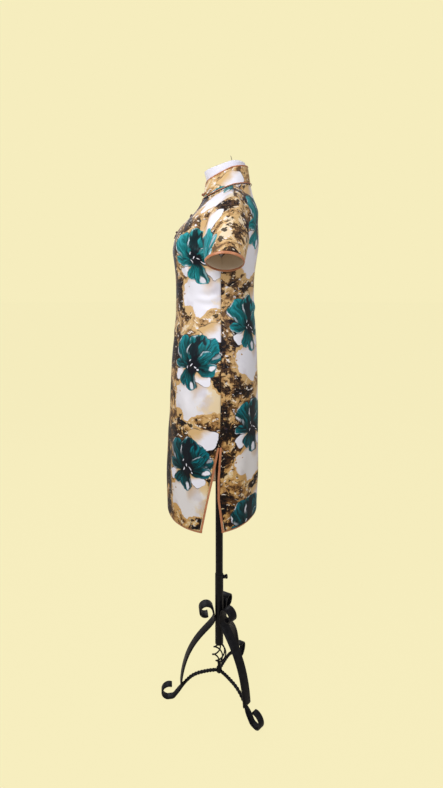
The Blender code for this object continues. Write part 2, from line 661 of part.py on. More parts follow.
def build_torso():
    """The form's torso, with a blind socket for the pole in its flat underside."""
    start = level_of_height(FORM_BOTTOM)
    levels = [start] + list(range(3, UNDERARM_LEVEL)) + [8.0, 8.5, 9.0, 9.5, 10.0, 10.5, 11.0, 11.35, 11.7]
    rings = [form_ring(level) for level in levels + [12.0]]
    way = rings[0] * [1, 1, 0]
    hole = way / np.linalg.norm(way, axis=1, keepdims=True) * SOCKET_RADIUS
    rings = np.array([hole + [0, 0, SOCKET_TOP], hole + [0, 0, FORM_BOTTOM]] + rings)
    count = rings.shape[1]
    torso = mesh_object("form_torso", rings.reshape(-1, 3), grid_faces(len(rings), count, True), JERSEY, 1e-4)
    face_outwards(torso.data, holes=True)
    bm = bmesh.new()
    bm.from_mesh(torso.data)
    bm.normal_update()
    skin = [v for v in bm.verts if math.hypot(v.co.x, v.co.y) > 2 * SOCKET_RADIUS or v.co.z > SOCKET_TOP + 0.1]
    for vertex, at in [(v, v.co - v.normal * FORM_CLEARANCE) for v in skin]:
        vertex.co = at
        if at.z < FORM_BOTTOM + 0.01:
            vertex.co.z = FORM_BOTTOM
    bm.to_mesh(torso.data)
    bm.free()
    torso.data.shade_smooth()


def build_form():
    build_torso()
    turn = np.linspace(-math.pi, math.pi, 29)[:-1] + 1e-6
    inset = FORM_CLEARANCE + 0.0005
    tilt = NECK_TOP_TILT
    rings = []
    for share in (0.0, 0.35, 0.65, 0.85, 1.0):
        lift = 0.0010 + NECK_RISE * share
        ring = neck_ring(turn, lift, -inset, 0.16)
        ring[:, 1] -= NECK_FLARE * np.clip(np.cos(turn), 0, 1) * max(lift - NECK_FLARE_START, 0)
        ring[:, 2] += (tilt * (ring[:, 1] - 0.02)) * share
        rings.append(ring)
    brim = rings[-1]
    middle = np.array([0.0, 0.040, brim[:, 2].mean()])
    for inward, rise in NECK_DOME:
        ring = brim + (middle - brim) * [inward, inward, inward * 0.6]
        ring[:, 2] += rise
        rings.append(ring)
    lofted("form_neck", rings, JERSEY)
    top = float(rings[-1][:, 2].max())
    cord("neck_pin", [(0.004, 0.036, top + 0.0005), (0.003, 0.035, top + 0.008), (0.001, 0.033, top + 0.015)],
         0.0007, STEEL)
    plate = [(r, FORM_BOTTOM - drop) for r, drop in FLANGE]
    turned("form_flange", plate, IRON, closed=True)


# ---------------------------------------------------------------- the stand
CLAMP_BORE = 0.0035
KNOB = (  # radius and distance from the pole's axis
    (0.0, 0.0275), (0.0050, 0.0275), (0.0072, 0.0255), (0.0072, 0.0210), (0.0050, 0.0190), (0.0030, 0.0190),
    (0.0030, POLE_RADIUS + SEAM), (0.0, POLE_RADIUS + SEAM),
)
HUB = (  # radius and height
    (0.0, CAGE_BOTTOM - CAGE_WIRE), (0.0062, CAGE_BOTTOM - CAGE_WIRE), (0.0052, 0.104), (0.0058, 0.096),
    (HUB_RADIUS, 0.091), (HUB_RADIUS, 0.077), (0.0060, 0.073), (0.0, 0.073),
)


def scroll(middle_r, middle_z, first, last, start, end, steps=18):
    share = np.linspace(0, 1, steps)
    angle = np.radians(start + (end - start) * share)
    radius = first + (last - first) * share
    return np.stack([middle_r + radius * np.cos(angle), middle_z + radius * np.sin(angle)], 1)


def resampled(line, count):
    """The same line with its points evenly spaced."""
    length = np.append(0, np.cumsum(np.linalg.norm(np.diff(line, axis=0), axis=1)))
    at = np.linspace(0, length[-1], count)
    return np.stack([np.interp(at, length, line[:, k]) for k in range(2)], 1)


def swept_bar(name, line, widths, thicks, twists, turn, mat=IRON):
    """A rectangular bar along a line in a leg's plane, with its width across the plane."""
    along = np.gradient(line, axis=0)
    along /= np.linalg.norm(along, axis=1, keepdims=True)
    along[line[:, 1] <= line[:, 1].min() + 1e-9] = (1.0, 0.0)
    way = math.radians(turn)
    radial, sideways, up = (math.cos(way), math.sin(way), 0), (-math.sin(way), math.cos(way), 0), (0, 0, 1)
    radial, sideways, up = map(np.array, (radial, sideways, up))
    rings = []
    for (r, z), (dr, dz), wide, thick, twist in zip(line, along, widths, thicks, twists):
        normal = -dz * radial + dr * up
        c, s = math.cos(twist), math.sin(twist)
        a, b = (sideways * c + normal * s) * wide / 2, (normal * c - sideways * s) * thick / 2
        middle = radial * r + up * z
        rings.append([middle - a - b, middle + a - b, middle + a + b, middle - a + b])
    obj = lofted(name, rings, mat)
    face_outwards(obj.data)
    obj.data.set_sharp_from_angle(angle=math.radians(40))
    return obj


def build_leg(letter, turn):
    strap = np.concatenate([scroll(*STRAP_SCROLL), smooth_line(STRAP_LINE, 3)])
    strap = resampled(strap, 34)
    ones = np.ones(len(strap))
    swept_bar(f"leg_strap_{letter}", strap, ones * STRAP_WIDTH, ones * STRAP_THICK, ones * 0.0, turn)
    straight = smooth_line(BAR_LINE, 4)
    twisted = resampled(straight, TWISTED_STEPS + 1 + 6)
    foot = np.concatenate([twisted[-1:], scroll(*FOOT_SCROLL)])
    foot = resampled(foot, 19)
    foot[:, 1] = np.maximum(foot[:, 1], foot[:, 1].min() + FOOT_FLAT)
    line = np.concatenate([twisted[:-1], foot])
    step = np.arange(len(line))
    share = np.clip((step - TWISTED_STEPS) / 6.0, 0, 1)
    flat = share**2 * (3 - 2 * share)
    twist = np.where(step < TWISTED_STEPS, step, 0) * TWIST_STEP
    wide = BAR_SIDE + (FOOT_WIDTH - BAR_SIDE) * flat
    thick = BAR_SIDE + (FOOT_THICK - BAR_SIDE) * flat
    swept_bar(f"leg_bar_{letter}", line, wide, thick, twist, turn)


def build_stand():
    turned("inner_pole", rod_profile(POLE_RADIUS, POLE_BOTTOM, POLE_TOP), IRON)
    inside = ((0.0, TUBE_FLOOR), (TUBE_BORE, TUBE_FLOOR), (TUBE_BORE, TUBE_TOP))
    outside = ((TUBE_RADIUS, TUBE_TOP), (TUBE_RADIUS, TUBE_BOTTOM), (0.0, TUBE_BOTTOM))
    tube = turned("outer_tube", inside + outside, IRON)
    hole = turned("cut_clamp_hole", rod_profile(CLAMP_BORE, 0.008, 0.018), STEEL, 16, group=CUTTER_GROUP)
    hole.location.z = CLAMP_HEIGHT
    hole.rotation_euler.x = math.radians(-90)
    cut(tube, hole)
    boss_profile = sleeve_profile(CLAMP_BORE, 0.0062, TUBE_RADIUS + SEAM, 0.0183)
    boss = turned("clamp_boss", boss_profile, IRON, 16, closed=True)
    knob = turned("clamp_knob", KNOB, IRON, 16)
    for piece in (boss, knob):
        piece.location.z = CLAMP_HEIGHT
        piece.rotation_euler.x = math.radians(-90)
    turned("hub", HUB, IRON)
    share = np.linspace(0, 1, 15)
    for number in range(4):
        angle = number * math.pi / 2 + share * math.radians(210)
        radius = 0.0050 + (CAGE_RADIUS - 0.0050) * np.sin(math.pi * share) ** 0.85
        height = CAGE_BOTTOM + SEAM + (TUBE_BOTTOM - CAGE_BOTTOM - 2 * SEAM - 0.002) * share
        points = np.stack([radius * np.cos(angle), radius * np.sin(angle), height], 1)
        cord(f"cage_wire_{number + 1}", points, CAGE_WIRE, IRON)
    for letter, turn in zip("abc", LEG_TURNS):
        build_leg(letter, turn)


def centre_on_origin():
    """Moves the pole's axis so that the object stands on the origin's plane, centred over the origin."""
    bpy.context.view_layer.update()
    graph = bpy.context.evaluated_depsgraph_get()
    lows, highs = [], []
    for obj in DRESS_GROUP.objects:
        if obj.type == "EMPTY":
            continue
        solid = obj.evaluated_get(graph)
        points = np.array([solid.matrix_world @ vertex.co for vertex in solid.to_mesh().vertices])
        lows.append(points.min(0))
        highs.append(points.max(0))
        solid.to_mesh_clear()
    low, high = np.min(lows, axis=0), np.max(highs, axis=0)
    ROOT.location.y = -(low[1] + high[1]) / 2
    ROOT.location.z = -low[2]


build_panels()
build_sleeve("left_sleeve", 1)
build_sleeve("right_sleeve", -1)
build_collar()
build_fastenings()
build_form()
build_stand()
centre_on_origin()
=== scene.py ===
import math

import bmesh
import bpy
import numpy as np
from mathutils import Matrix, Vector


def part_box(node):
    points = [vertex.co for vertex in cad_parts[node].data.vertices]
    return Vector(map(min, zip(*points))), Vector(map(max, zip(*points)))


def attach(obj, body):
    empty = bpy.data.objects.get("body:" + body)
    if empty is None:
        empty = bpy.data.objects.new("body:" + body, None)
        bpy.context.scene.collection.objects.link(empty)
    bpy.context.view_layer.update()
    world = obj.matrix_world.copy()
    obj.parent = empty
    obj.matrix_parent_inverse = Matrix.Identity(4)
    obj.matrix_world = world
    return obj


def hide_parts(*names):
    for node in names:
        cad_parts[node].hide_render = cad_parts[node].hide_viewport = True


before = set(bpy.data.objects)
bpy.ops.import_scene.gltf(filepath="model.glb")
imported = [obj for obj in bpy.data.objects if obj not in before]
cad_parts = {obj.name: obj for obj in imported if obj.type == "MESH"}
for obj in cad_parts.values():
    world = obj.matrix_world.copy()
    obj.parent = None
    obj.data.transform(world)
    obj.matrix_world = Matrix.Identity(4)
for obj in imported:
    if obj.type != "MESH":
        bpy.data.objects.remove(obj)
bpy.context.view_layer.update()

# The garment's tables are heights from the floor and Y from the pole's axis, as the frame places that axis.
POLE_BOTTOM = 0.330
_low, _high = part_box("inner_pole")
AXIS = np.array([(_low.x + _high.x) / 2, (_low.y + _high.y) / 2, _low.z - POLE_BOTTOM])

# ---------------------------------------------------------------- sizes
CLOTH = 0.0011  # wall of the printed satin as it looks
CLOTH_OUT = 0.0004  # the satin's inner face lies this far outside the solid's
BINDING = 0.0019
SEAM = 0.0003
HEM_BAND, SLIT_BAND, CUFF_BAND = 0.005, 0.008, 0.006
COLLAR_EDGE, PIPING = 0.0019, 0.0012
FROG_CORD, FROG_KNOT = 0.0013, 0.0034
SLIT_TOP = 0.920
COLLAR_HEIGHT = 0.051
FORM_BOTTOM = 0.945
POLE_RADIUS = 0.0118
TUBE_RADIUS, TUBE_BORE = 0.0134, 0.0121
TUBE_BOTTOM, TUBE_TOP = 0.181, 0.430
CLAMP_HEIGHT = 0.418
CAGE_BOTTOM, CAGE_RADIUS, CAGE_WIRE = 0.114, 0.0225, 0.0023
HUB_RADIUS, HUB_HEIGHT = 0.0090, 0.083
STRAP_WIDTH, STRAP_THICK = 0.031, 0.005
BAR_SIDE = 0.0085
TWISTED_STEPS, TWIST_STEP = 24, math.radians(45)
FOOT_WIDTH, FOOT_THICK, FOOT_FLAT = 0.020, 0.005, 0.0012
LEG_TURNS = (-90.0, 35.0, 145.0)
SLIT_END = 0.003  # the slits' binding stops this far below their top
UNDERARM_LEVEL = 8  # the number of the underarm's section, counted from the hem's as 0
QUARTER_SECTION = 0.245  # metres round a quarter of the skirt, near enough, for the share a band takes up

# Sections of the dress, hem to underarm: the front's centre line as Y and Z, the back's centre line, and the
# side seam, where the two meet, as X, Y and Z.
BODY = {
    "hem": (-0.1610, 0.667, 0.1150, 0.680, 0.170, -0.0245, 0.667),
    "knee": (-0.1585, 0.800, 0.1155, 0.804, 0.1705, -0.0230, 0.800),
    "slit": (-0.1525, 0.920, 0.1150, 0.920, 0.1705, -0.0210, 0.920),
    "hip": (-0.1460, 1.054, 0.1130, 1.054, 0.1690, -0.0180, 1.054),
    "belly": (-0.1390, 1.163, 0.1095, 1.163, 0.1590, -0.0160, 1.163),
    "high_hip": (-0.1300, 1.235, 0.1050, 1.235, 0.1460, -0.0140, 1.235),
    "waist": (-0.1260, 1.318, 0.1000, 1.318, 0.1340, -0.0130, 1.318),
    "rib": (-0.1270, 1.375, 0.1000, 1.375, 0.1390, -0.0140, 1.375),
    "underarm": (-0.1310, 1.428, 0.1060, 1.428, 0.1500, -0.0140, 1.428),
}
# Each panel's sections up to the armhole: the centre line's Y and Z, the side edge's X, Y and Z, and the part
# of a quarter ellipse between them in degrees.
FRONT = {
    **{name: (*row[:2], *row[4:], 90) for name, row in BODY.items()},
    "low_armhole": (-0.1320, 1.466, 0.1500, -0.0440, 1.455, 76),
    "mid_armhole": (-0.1165, 1.512, 0.1560, -0.0550, 1.495, 62),
    "high_armhole": (-0.0680, 1.562, 0.1680, -0.0360, 1.545, 50),
}
BACK = {
    **{name: (*row[2:], 90) for name, row in BODY.items()},
    "low_armhole": (0.1120, 1.470, 0.1500, 0.0220, 1.455, 76),
    "mid_armhole": (0.1065, 1.522, 0.1560, 0.0470, 1.498, 66),
    "high_armhole": (0.1010, 1.575, 0.1690, 0.0460, 1.545, 58),
}
NECK_FRONT = (0.0, -0.045, 1.598)
NECK_BACK = (0.0, 0.089, 1.640)
NECK_SIDE = (0.066, 0.030, 1.628)
SHOULDER_TIP = (0.180, 0.014, 1.574)
NECK_SHARE = 0.45
TOP_LEVEL = len(FRONT)
SLIT_EDGES = ((0.667, -19.5, 4.0), (0.765, -12.0, -1.5), (0.823, -7.0, -2.0), (0.920, 0.0, 0.0))
BUST_X, BUST_Z, BUST_WIDE, BUST_HIGH, BUST_DEEP = 0.078, 1.452, 0.045, 0.042, 0.009
CUFF_MIDDLE = (0.2270, -0.0165, 1.4075)
CUFF_OUT = (0.0360, 0.0, 0.0185)
CUFF_FRONT = (-0.0030, -0.0460, 0.0030)
CUFF_POINT = 1.3
SLEEVE_PUFF = 0.010
OVERLAP = ((0.0005, 1.612), (0.034, 1.530), (-0.020, 1.486), (-0.170, 1.436))
STRAP_LINE = (
    (0.0168, 0.288), (0.0190, 0.271), (0.0320, 0.254), (0.0475, 0.238), (0.0640, 0.220), (0.0810, 0.198),
    (0.0965, 0.172), (0.1080, 0.146), (0.1170, 0.117), (0.1230, 0.090), (0.1265, 0.066), (0.1285, 0.0475),
)
STRAP_SCROLL = (0.045, 0.308, 0.0170, 0.0225, -115.0, 168.0)
BAR_LINE = (
    (HUB_RADIUS + SEAM, HUB_HEIGHT), (0.0300, 0.0835), (0.0520, 0.0820), (0.0750, 0.0780), (0.0940, 0.0695),
    (0.1100, 0.0560), (0.1240, 0.0405), (0.1380, 0.0235),
)
FOOT_SCROLL = (0.167, 0.030, 0.0275, 0.0195, -125.0, 115.0)

# ---------------------------------------------------------------- creases
# Creases of the panels: from (share, height) to (share, height), half width and height in metres. The
# share runs from the centre line, 0, to the side seam, 1, and a minus sign is the wearer's right. A
# negative height is a trough.
FRONT_CREASES = (
    (0.30, 1.405, 0.52, 1.318, 0.0130, -0.0016),
    (0.38, 1.412, 0.62, 1.345, 0.0120, 0.0030),
    (-0.33, 1.395, -0.58, 1.322, 0.0150, 0.0026),
    (-0.24, 1.402, -0.47, 1.300, 0.0110, -0.0015),
    (0.42, 1.045, 0.60, 1.005, 0.0150, 0.0034),
    (-0.50, 1.052, -0.70, 1.020, 0.0130, 0.0030),
    (0.98, 1.352, 0.66, 1.338, 0.0085, 0.0026),
    (0.99, 1.322, 0.58, 1.316, 0.0075, 0.0030),
    (1.00, 1.296, 0.70, 1.282, 0.0090, 0.0024),
    (-0.99, 1.338, -0.64, 1.330, 0.0080, 0.0030),
    (-1.00, 1.303, -0.60, 1.300, 0.0090, 0.0026),
    (0.97, 1.420, 0.62, 1.448, 0.0100, 0.0030),
    (-0.97, 1.416, -0.66, 1.440, 0.0090, 0.0026),
    (0.90, 1.500, 0.62, 1.470, 0.0095, 0.0026),
    (-0.15, 1.236, 0.24, 1.226, 0.0170, 0.0022),
    (0.95, 1.150, 0.55, 1.185, 0.0170, 0.0024),
    (-0.95, 1.165, -0.60, 1.190, 0.0150, 0.0022),
    (0.35, 1.010, 0.30, 0.700, 0.0300, 0.0050),
    (-0.12, 0.980, -0.08, 0.680, 0.0340, 0.0050),
    (-0.52, 1.000, -0.56, 0.690, 0.0260, 0.0056),
    (0.68, 0.960, 0.66, 0.690, 0.0240, 0.0048),
    (0.15, 0.900, 0.12, 0.672, 0.0220, -0.0040),
    (-0.32, 0.890, -0.34, 0.672, 0.0240, -0.0046),
    (0.33, 1.400, 0.33, 1.200, 0.0016, -0.0011),
    (-0.33, 1.400, -0.33, 1.200, 0.0016, -0.0011),
    (0.99, 1.398, 0.60, 1.432, 0.0016, -0.0010),
    (-0.99, 1.398, -0.60, 1.432, 0.0016, -0.0010),
)
BACK_CREASES = (
    (0.94, 1.345, 0.42, 1.330, 0.0095, 0.0034),
    (0.98, 1.312, 0.50, 1.306, 0.0080, 0.0030),
    (0.40, 1.300, -0.10, 1.288, 0.0110, 0.0030),
    (-0.92, 1.334, -0.36, 1.322, 0.0100, 0.0036),
    (-0.98, 1.300, -0.52, 1.292, 0.0080, 0.0028),
    (0.12, 1.352, -0.34, 1.360, 0.0120, 0.0028),
    (0.95, 1.260, 0.62, 1.236, 0.0120, 0.0026),
    (-0.95, 1.252, -0.58, 1.226, 0.0110, 0.0026),
    (0.93, 1.452, 0.62, 1.424, 0.0110, 0.0032),
    (-0.93, 1.446, -0.66, 1.414, 0.0100, 0.0032),
    (0.90, 1.512, 0.55, 1.516, 0.0120, 0.0028),
    (-0.90, 1.520, -0.52, 1.512, 0.0130, 0.0026),
    (0.28, 1.600, 0.10, 1.540, 0.0110, 0.0018),
    (-0.30, 1.592, -0.14, 1.530, 0.0120, 0.0018),
    (0.30, 1.010, 0.34, 0.690, 0.0300, 0.0054),
    (-0.06, 0.990, -0.10, 0.680, 0.0320, 0.0046),
    (-0.48, 1.000, -0.50, 0.690, 0.0280, 0.0054),
    (0.70, 0.980, 0.74, 0.700, 0.0240, 0.0046),
    (-0.78, 0.960, -0.78, 0.700, 0.0220, 0.0044),
    (0.10, 0.900, 0.12, 0.672, 0.0240, -0.0042),
    (-0.28, 0.900, -0.29, 0.672, 0.0220, -0.0040),
    (0.35, 1.440, 0.35, 1.160, 0.0016, -0.0011),
    (-0.35, 1.440, -0.35, 1.160, 0.0016, -0.0011),
)
PANEL_ACROSS = 0.23  # metres for one share, near enough, to measure a crease's width
DEEPEST = -0.0016  # a trough stays this shallow where the form is behind it
DEEPEST_BELOW = -0.0060  # and this shallow below the form
FOLDING = {
    "size": (PANEL_ACROSS, 1.0),
    "ends": 1.15,
    "wave": (0.5, 5.0, 9.0),
    "trough": (0.35, 1.7),
    "narrowest": 0.004,
}
RIPPLE = 0.00028
SEAM_SINK, SHOULDER_SINK, SEAM_WIDE = 0.0008, 0.0006, 0.0035  # how far seams draw the cloth in, and how wide
PROBE = 1e-3  # the step in share and level that a normal is worked out over


# ---------------------------------------------------------------- curves and the garment's surface
def unit(vectors):
    """The vectors at length one."""
    return vectors / np.linalg.norm(vectors, axis=-1, keepdims=True)


def full_turn(count):
    """Angles evenly spaced round a circle."""
    return np.linspace(0, 2 * math.pi, count, endpoint=False)


def lengths_along(line):
    """The length of a line from its start to each of its points."""
    return np.append(0, np.cumsum(np.linalg.norm(np.diff(line, axis=0), axis=1)))


def hermite(points, leaving, at, arriving=None):
    """A cubic through the points, with the slopes it leaves each one at and, if they differ, arrives at."""
    arriving = leaving if arriving is None else arriving
    i = np.clip(at.astype(int), 0, len(points) - 2)
    u = (at - i).reshape(-1, *[1] * (points.ndim - 1))
    return (
        (1 + 2 * u) * (1 - u) ** 2 * points[i]
        + u * (1 - u) ** 2 * leaving[i]
        + u**2 * (3 - 2 * u) * points[i + 1]
        + u**2 * (u - 1) * arriving[i + 1]
    )


def smooth_line(points, steps):
    """A Catmull-Rom curve through the points, with that many steps in each span."""
    points = np.asarray(points, float)
    at = np.linspace(0, len(points) - 1, (len(points) - 1) * steps + 1)
    return hermite(points, np.gradient(points, axis=0), at)


def resampled(line, count):
    """The same line with its points evenly spaced."""
    length = lengths_along(line)
    at = np.linspace(0, length[-1], count)
    return np.stack([np.interp(at, length, line[:, k]) for k in range(line.shape[1])], 1)


def section_curve(row, s):
    """One section across a panel: s runs from -1 at the wearer's right edge to 1 at the left."""
    centre_y, centre_z, edge_x, edge_y, edge_z, turn = row
    turn = math.radians(turn)
    share = np.abs(s)
    across = np.sin(share * turn) / math.sin(turn)
    back = (1 - np.cos(share * turn)) / (1 - math.cos(turn))
    x = np.sign(s) * edge_x * across**0.96
    return np.stack([x, centre_y + (edge_y - centre_y) * back, centre_z + (edge_z - centre_z) * share**2], -1)


def top_curve(neck, s):
    """A panel's top edge: half the neckline, then the shoulder seams."""
    share = np.abs(s)
    a = np.clip(share / NECK_SHARE, 0, 1) * math.pi / 2
    neck, side, tip = np.array(neck), np.array(NECK_SIDE), np.array(SHOULDER_TIP)
    x = side[0] * np.sin(a)
    rest = neck[1:] + (side - neck)[1:] * (1 - np.cos(a))[:, None]
    along = np.clip((share - NECK_SHARE) / (1 - NECK_SHARE), 0, 1)[:, None]
    points = np.concatenate([x[:, None], rest], 1) + (tip - side) * along
    points[:, 0] *= np.where(s < 0, -1, 1)
    return points


def rows_of(table, neck, s):
    return np.stack([section_curve(row, s) for row in table.values()] + [top_curve(neck, s)])


def panel_points(side, s, levels):
    """Points of the front or the back: level 0 is the hem, and each section of the table is one level."""
    table, neck, other, other_neck = (
        (FRONT, NECK_FRONT, BACK, NECK_BACK) if side == "front" else (BACK, NECK_BACK, FRONT, NECK_FRONT)
    )
    s = np.asarray(s, float)
    points = rows_of(table, neck, s)
    slopes = np.gradient(points, axis=0)
    over = (rows_of(other, other_neck, s)[-2] - points[-2]) / 2
    blend = np.clip((np.abs(s) - 0.3) / 0.3, 0, 1)[:, None]
    slopes[-1] = slopes[-1] * (1 - blend) + over * blend
    arriving = slopes.copy()
    corner = np.abs(s)[:, None] ** 6
    straight = points[UNDERARM_LEVEL] - points[UNDERARM_LEVEL - 1]
    arriving[UNDERARM_LEVEL] += (straight - slopes[UNDERARM_LEVEL]) * corner
    grid = hermite(points, slopes, np.asarray(levels, float), arriving)
    if side == "front":
        x, z = grid[..., 0], grid[..., 2]
        near = np.exp(-(((np.abs(x) - BUST_X) / BUST_WIDE) ** 2) - ((z - BUST_Z) / BUST_HIGH) ** 2)
        grid[..., 1] -= BUST_DEEP * near
    return grid


_levels = np.linspace(0, UNDERARM_LEVEL, 321)
_edge = panel_points("front", [1.0], _levels)[:, 0, 2]


def level_of_height(height):
    """The level where the side edge stands at this height."""
    return np.interp(height, _edge, _levels)


def edge_height(level):
    return np.interp(level, _levels, _edge)


def slit_share(side, heights, band=0.0):
    """How far out a panel reaches, 1 at the side seam, at each height, less a band's width."""
    column = 1 if side == "front" else 2
    degrees = np.interp(heights, [row[0] for row in SLIT_EDGES], [row[column] for row in SLIT_EDGES])
    toward = degrees if side == "front" else -degrees
    share = 1 + toward / 90 - np.where(np.asarray(heights) < SLIT_TOP, band, 0.0) / QUARTER_SECTION
    return share - SEAM / QUARTER_SECTION


def crease_lift(creases, a, b, size, ends=1.1, wave=(0.0, 0.0, 0.0), trough=(0.0, 1.0), narrowest=0.0):
    """How far the creases lift a surface at each (a, b), whose units measure size in metres.

    ends says how far a crease runs before it fades; wave is how much its line bends, how fast along it and
    how that differs between creases; trough is how deep and how far off the trough beside it is. A crease
    under narrowest in width is a seam, straight and with no trough."""
    lift = np.zeros(np.broadcast(a, b).shape)
    for a0, b0, a1, b1, wide, high in creases:
        run = np.array([(a1 - a0) * size[0], (b1 - b0) * size[1]])
        length = np.linalg.norm(run)
        run /= length
        da, db = (a - a0) * size[0], (b - b0) * size[1]
        along = (da * run[0] + db * run[1]) / length
        off = (db * run[0] - da * run[1]) / wide
        fade = np.clip(ends - np.abs(2 * along - 1), 0, 1)
        if wide > narrowest:
            off = off + wave[0] * np.sin(along * wave[1] + a0 * wave[2])
        shape = np.exp(-(off**2))
        if wide > narrowest:
            shape = shape - trough[0] * np.exp(-(((off - trough[1]) / 1.2) ** 2))
        lift += high * fade**2 * (3 - 2 * fade) * shape
    return lift


def ripple(s, z):
    """Soft unevenness of hanging cloth, under half a millimetre."""
    long, slanted = np.sin(s * 17.0 + z * 31.0), np.sin(s * 29.0 - z * 23.0 + 1.3)
    short = np.sin(s * 11.0 + z * 57.0 + 0.4)
    return RIPPLE * (long + slanted * 0.7 + short * 0.5)


def cloth_rows(side, shares, levels, out=0.0, seams=True):
    """Creased cloth: a row of points for each level, with its own shares, and the rows' normals."""
    creases = FRONT_CREASES if side == "front" else BACK_CREASES
    points, normals = [], []
    for s, level in zip(shares, levels):
        here, above = panel_points(side, s, [level, level + PROBE])
        beside = panel_points(side, s + PROBE, [level])[0]
        normal = unit(np.cross(beside - here, above - here) * (1 if side == "front" else -1))
        z = here[:, 2]
        lift = crease_lift(creases, s, z, **FOLDING) + ripple(s, z)
        floor = np.where(z < FORM_BOTTOM - 0.015, DEEPEST_BELOW, DEEPEST)
        hold = 0.35 + 0.65 * np.clip((1 - np.abs(s)) / 0.08, 0, 1)
        lift = np.maximum(lift * np.clip((TOP_LEVEL - level) / 0.5, 0, 1) * hold, floor)
        if seams:
            away = (1 - np.abs(s)) * PANEL_ACROSS
            lift -= SEAM_SINK * np.exp(-((away / SEAM_WIDE) ** 2)) * (level > 3)
            lift -= SHOULDER_SINK * np.exp(-(((TOP_LEVEL - level) * 0.05 / SEAM_WIDE) ** 2))
        points.append(here + normal * (lift + out)[:, None])
        normals.append(normal)
    return np.array(points), np.array(normals)


# ---------------------------------------------------------------- places on the print
HALF_SHARES, PER_LEVEL, WAIST_ROW = 40, 20, 120  # of the grid that lengths are kept on


def lengths_over(side):
    """Lengths over the cloth on a regular grid: round from the centre line, and up from the waist."""
    levels = np.linspace(0, TOP_LEVEL, TOP_LEVEL * PER_LEVEL + 1)
    grid = panel_points(side, np.linspace(-1, 1, 2 * HALF_SHARES + 1), levels)
    across = np.linalg.norm(np.diff(grid, axis=1), axis=2)
    u = np.concatenate([np.zeros((len(grid), 1)), np.cumsum(across, axis=1)], 1)
    up = np.linalg.norm(np.diff(grid, axis=0), axis=2)
    v = np.concatenate([np.zeros((1, grid.shape[1])), np.cumsum(up, axis=0)], 0)
    return u - u[:, HALF_SHARES : HALF_SHARES + 1], v - v[WAIST_ROW : WAIST_ROW + 1]


LENGTHS = {side: lengths_over(side) for side in ("front", "back")}


def over_cloth(side, shares, levels):
    """The (round, up) place on the cloth of each share and level, in metres."""
    at_s = np.clip((np.asarray(shares) + 1) * HALF_SHARES, 0, 2 * HALF_SHARES - 0.001)
    at_l = np.clip(np.asarray(levels)[:, None] * PER_LEVEL + 0 * at_s, 0, TOP_LEVEL * PER_LEVEL - 0.001)
    i, j = at_l.astype(int), at_s.astype(int)
    fi, fj = at_l - i, at_s - j
    made = []
    for field in LENGTHS[side]:
        low = field[i, j] * (1 - fj) + field[i, j + 1] * fj
        high = field[i + 1, j] * (1 - fj) + field[i + 1, j + 1] * fj
        made.append(low * (1 - fi) + high * fi)
    return np.stack(made, -1)


# ---------------------------------------------------------------- making pieces
def grid_faces(rings, count, closed=False, looped=False):
    """Quads of a grid of points; closed joins each ring's ends, and looped the last ring to the first."""
    faces = []
    for i in range(rings if looped else rings - 1):
        here, above = i * count, (i + 1) % rings * count
        for j in range(count if closed else count - 1):
            k = (j + 1) % count
            faces.append((here + j, here + k, above + k, above + j))
    return faces


def linked(name, data):
    obj = bpy.data.objects.new(name, data)
    bpy.context.collection.objects.link(obj)
    return obj


def mesh_piece(name, points, faces, materials, uv=None, smooth=True):
    """A mesh object from points about the pole's axis; uv gives one place on the print for each point."""
    mesh = bpy.data.meshes.new(name)
    mesh.from_pydata((np.asarray(points, float).reshape(-1, 3) + AXIS).tolist(), [], faces)
    for mat in materials:
        mesh.materials.append(mat)
    if uv is not None:
        layer = mesh.uv_layers.new(name="print")
        corner = np.zeros(len(mesh.loops), np.int32)
        mesh.loops.foreach_get("vertex_index", corner)
        layer.data.foreach_set("uv", np.asarray(uv, np.float32).reshape(-1, 2)[corner].ravel())
    if smooth:
        mesh.shade_smooth()
    return linked(name, mesh)


def finished(obj, body, slot, *nodes):
    """Declares what a piece rides on and hides the CAD nodes it stands for; slot is not used."""
    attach(obj, body)
    if nodes:
        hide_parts(*nodes)
    return obj


def cloth_piece(name, points, materials, uv=None, thickness=CLOTH, closed=False, flip=False):
    """A thin shell from a grid of points, its inner faces in the second material."""
    points = np.asarray(points)
    faces = grid_faces(len(points), points.shape[1], closed)
    if flip:
        faces = [face[::-1] for face in faces]
    obj = mesh_piece(name, points, faces, materials, uv)
    solid = obj.modifiers.new("cloth", "SOLIDIFY")
    solid.thickness = thickness
    solid.offset = 1.0
    solid.use_even_offset = False
    solid.material_offset = len(materials) - 1
    solid.material_offset_rim = 0
    return obj


def frames_along(points):
    """Unit side and up vectors along a line, carried without twist."""
    tangents = unit(np.gradient(points, axis=0))
    sides = [unit(np.cross(tangents[0], (0.3, 0.2, 0.93)))]
    for tangent in tangents[1:]:
        sides.append(unit(sides[-1] - tangent * np.dot(sides[-1], tangent)))
    sides = np.array(sides)
    return sides, np.cross(tangents, sides)


def cord_places(length, turn):
    """Places for a cord's threads: along it, and a centimetre for each time round it."""
    return np.stack(np.broadcast_arrays(length[:, None], turn / (2 * math.pi) * 0.01), -1)


def tube(name, points, radius, mat, around=12):
    """A round cord or bar along points."""
    sides, ups = frames_along(points)
    turn = full_turn(around)[:, None]
    rings = points[:, None] + radius * (np.cos(turn) * sides[:, None] + np.sin(turn) * ups[:, None])
    return lofted_piece(name, rings, [mat], cord_places(lengths_along(points), turn[:, 0]))


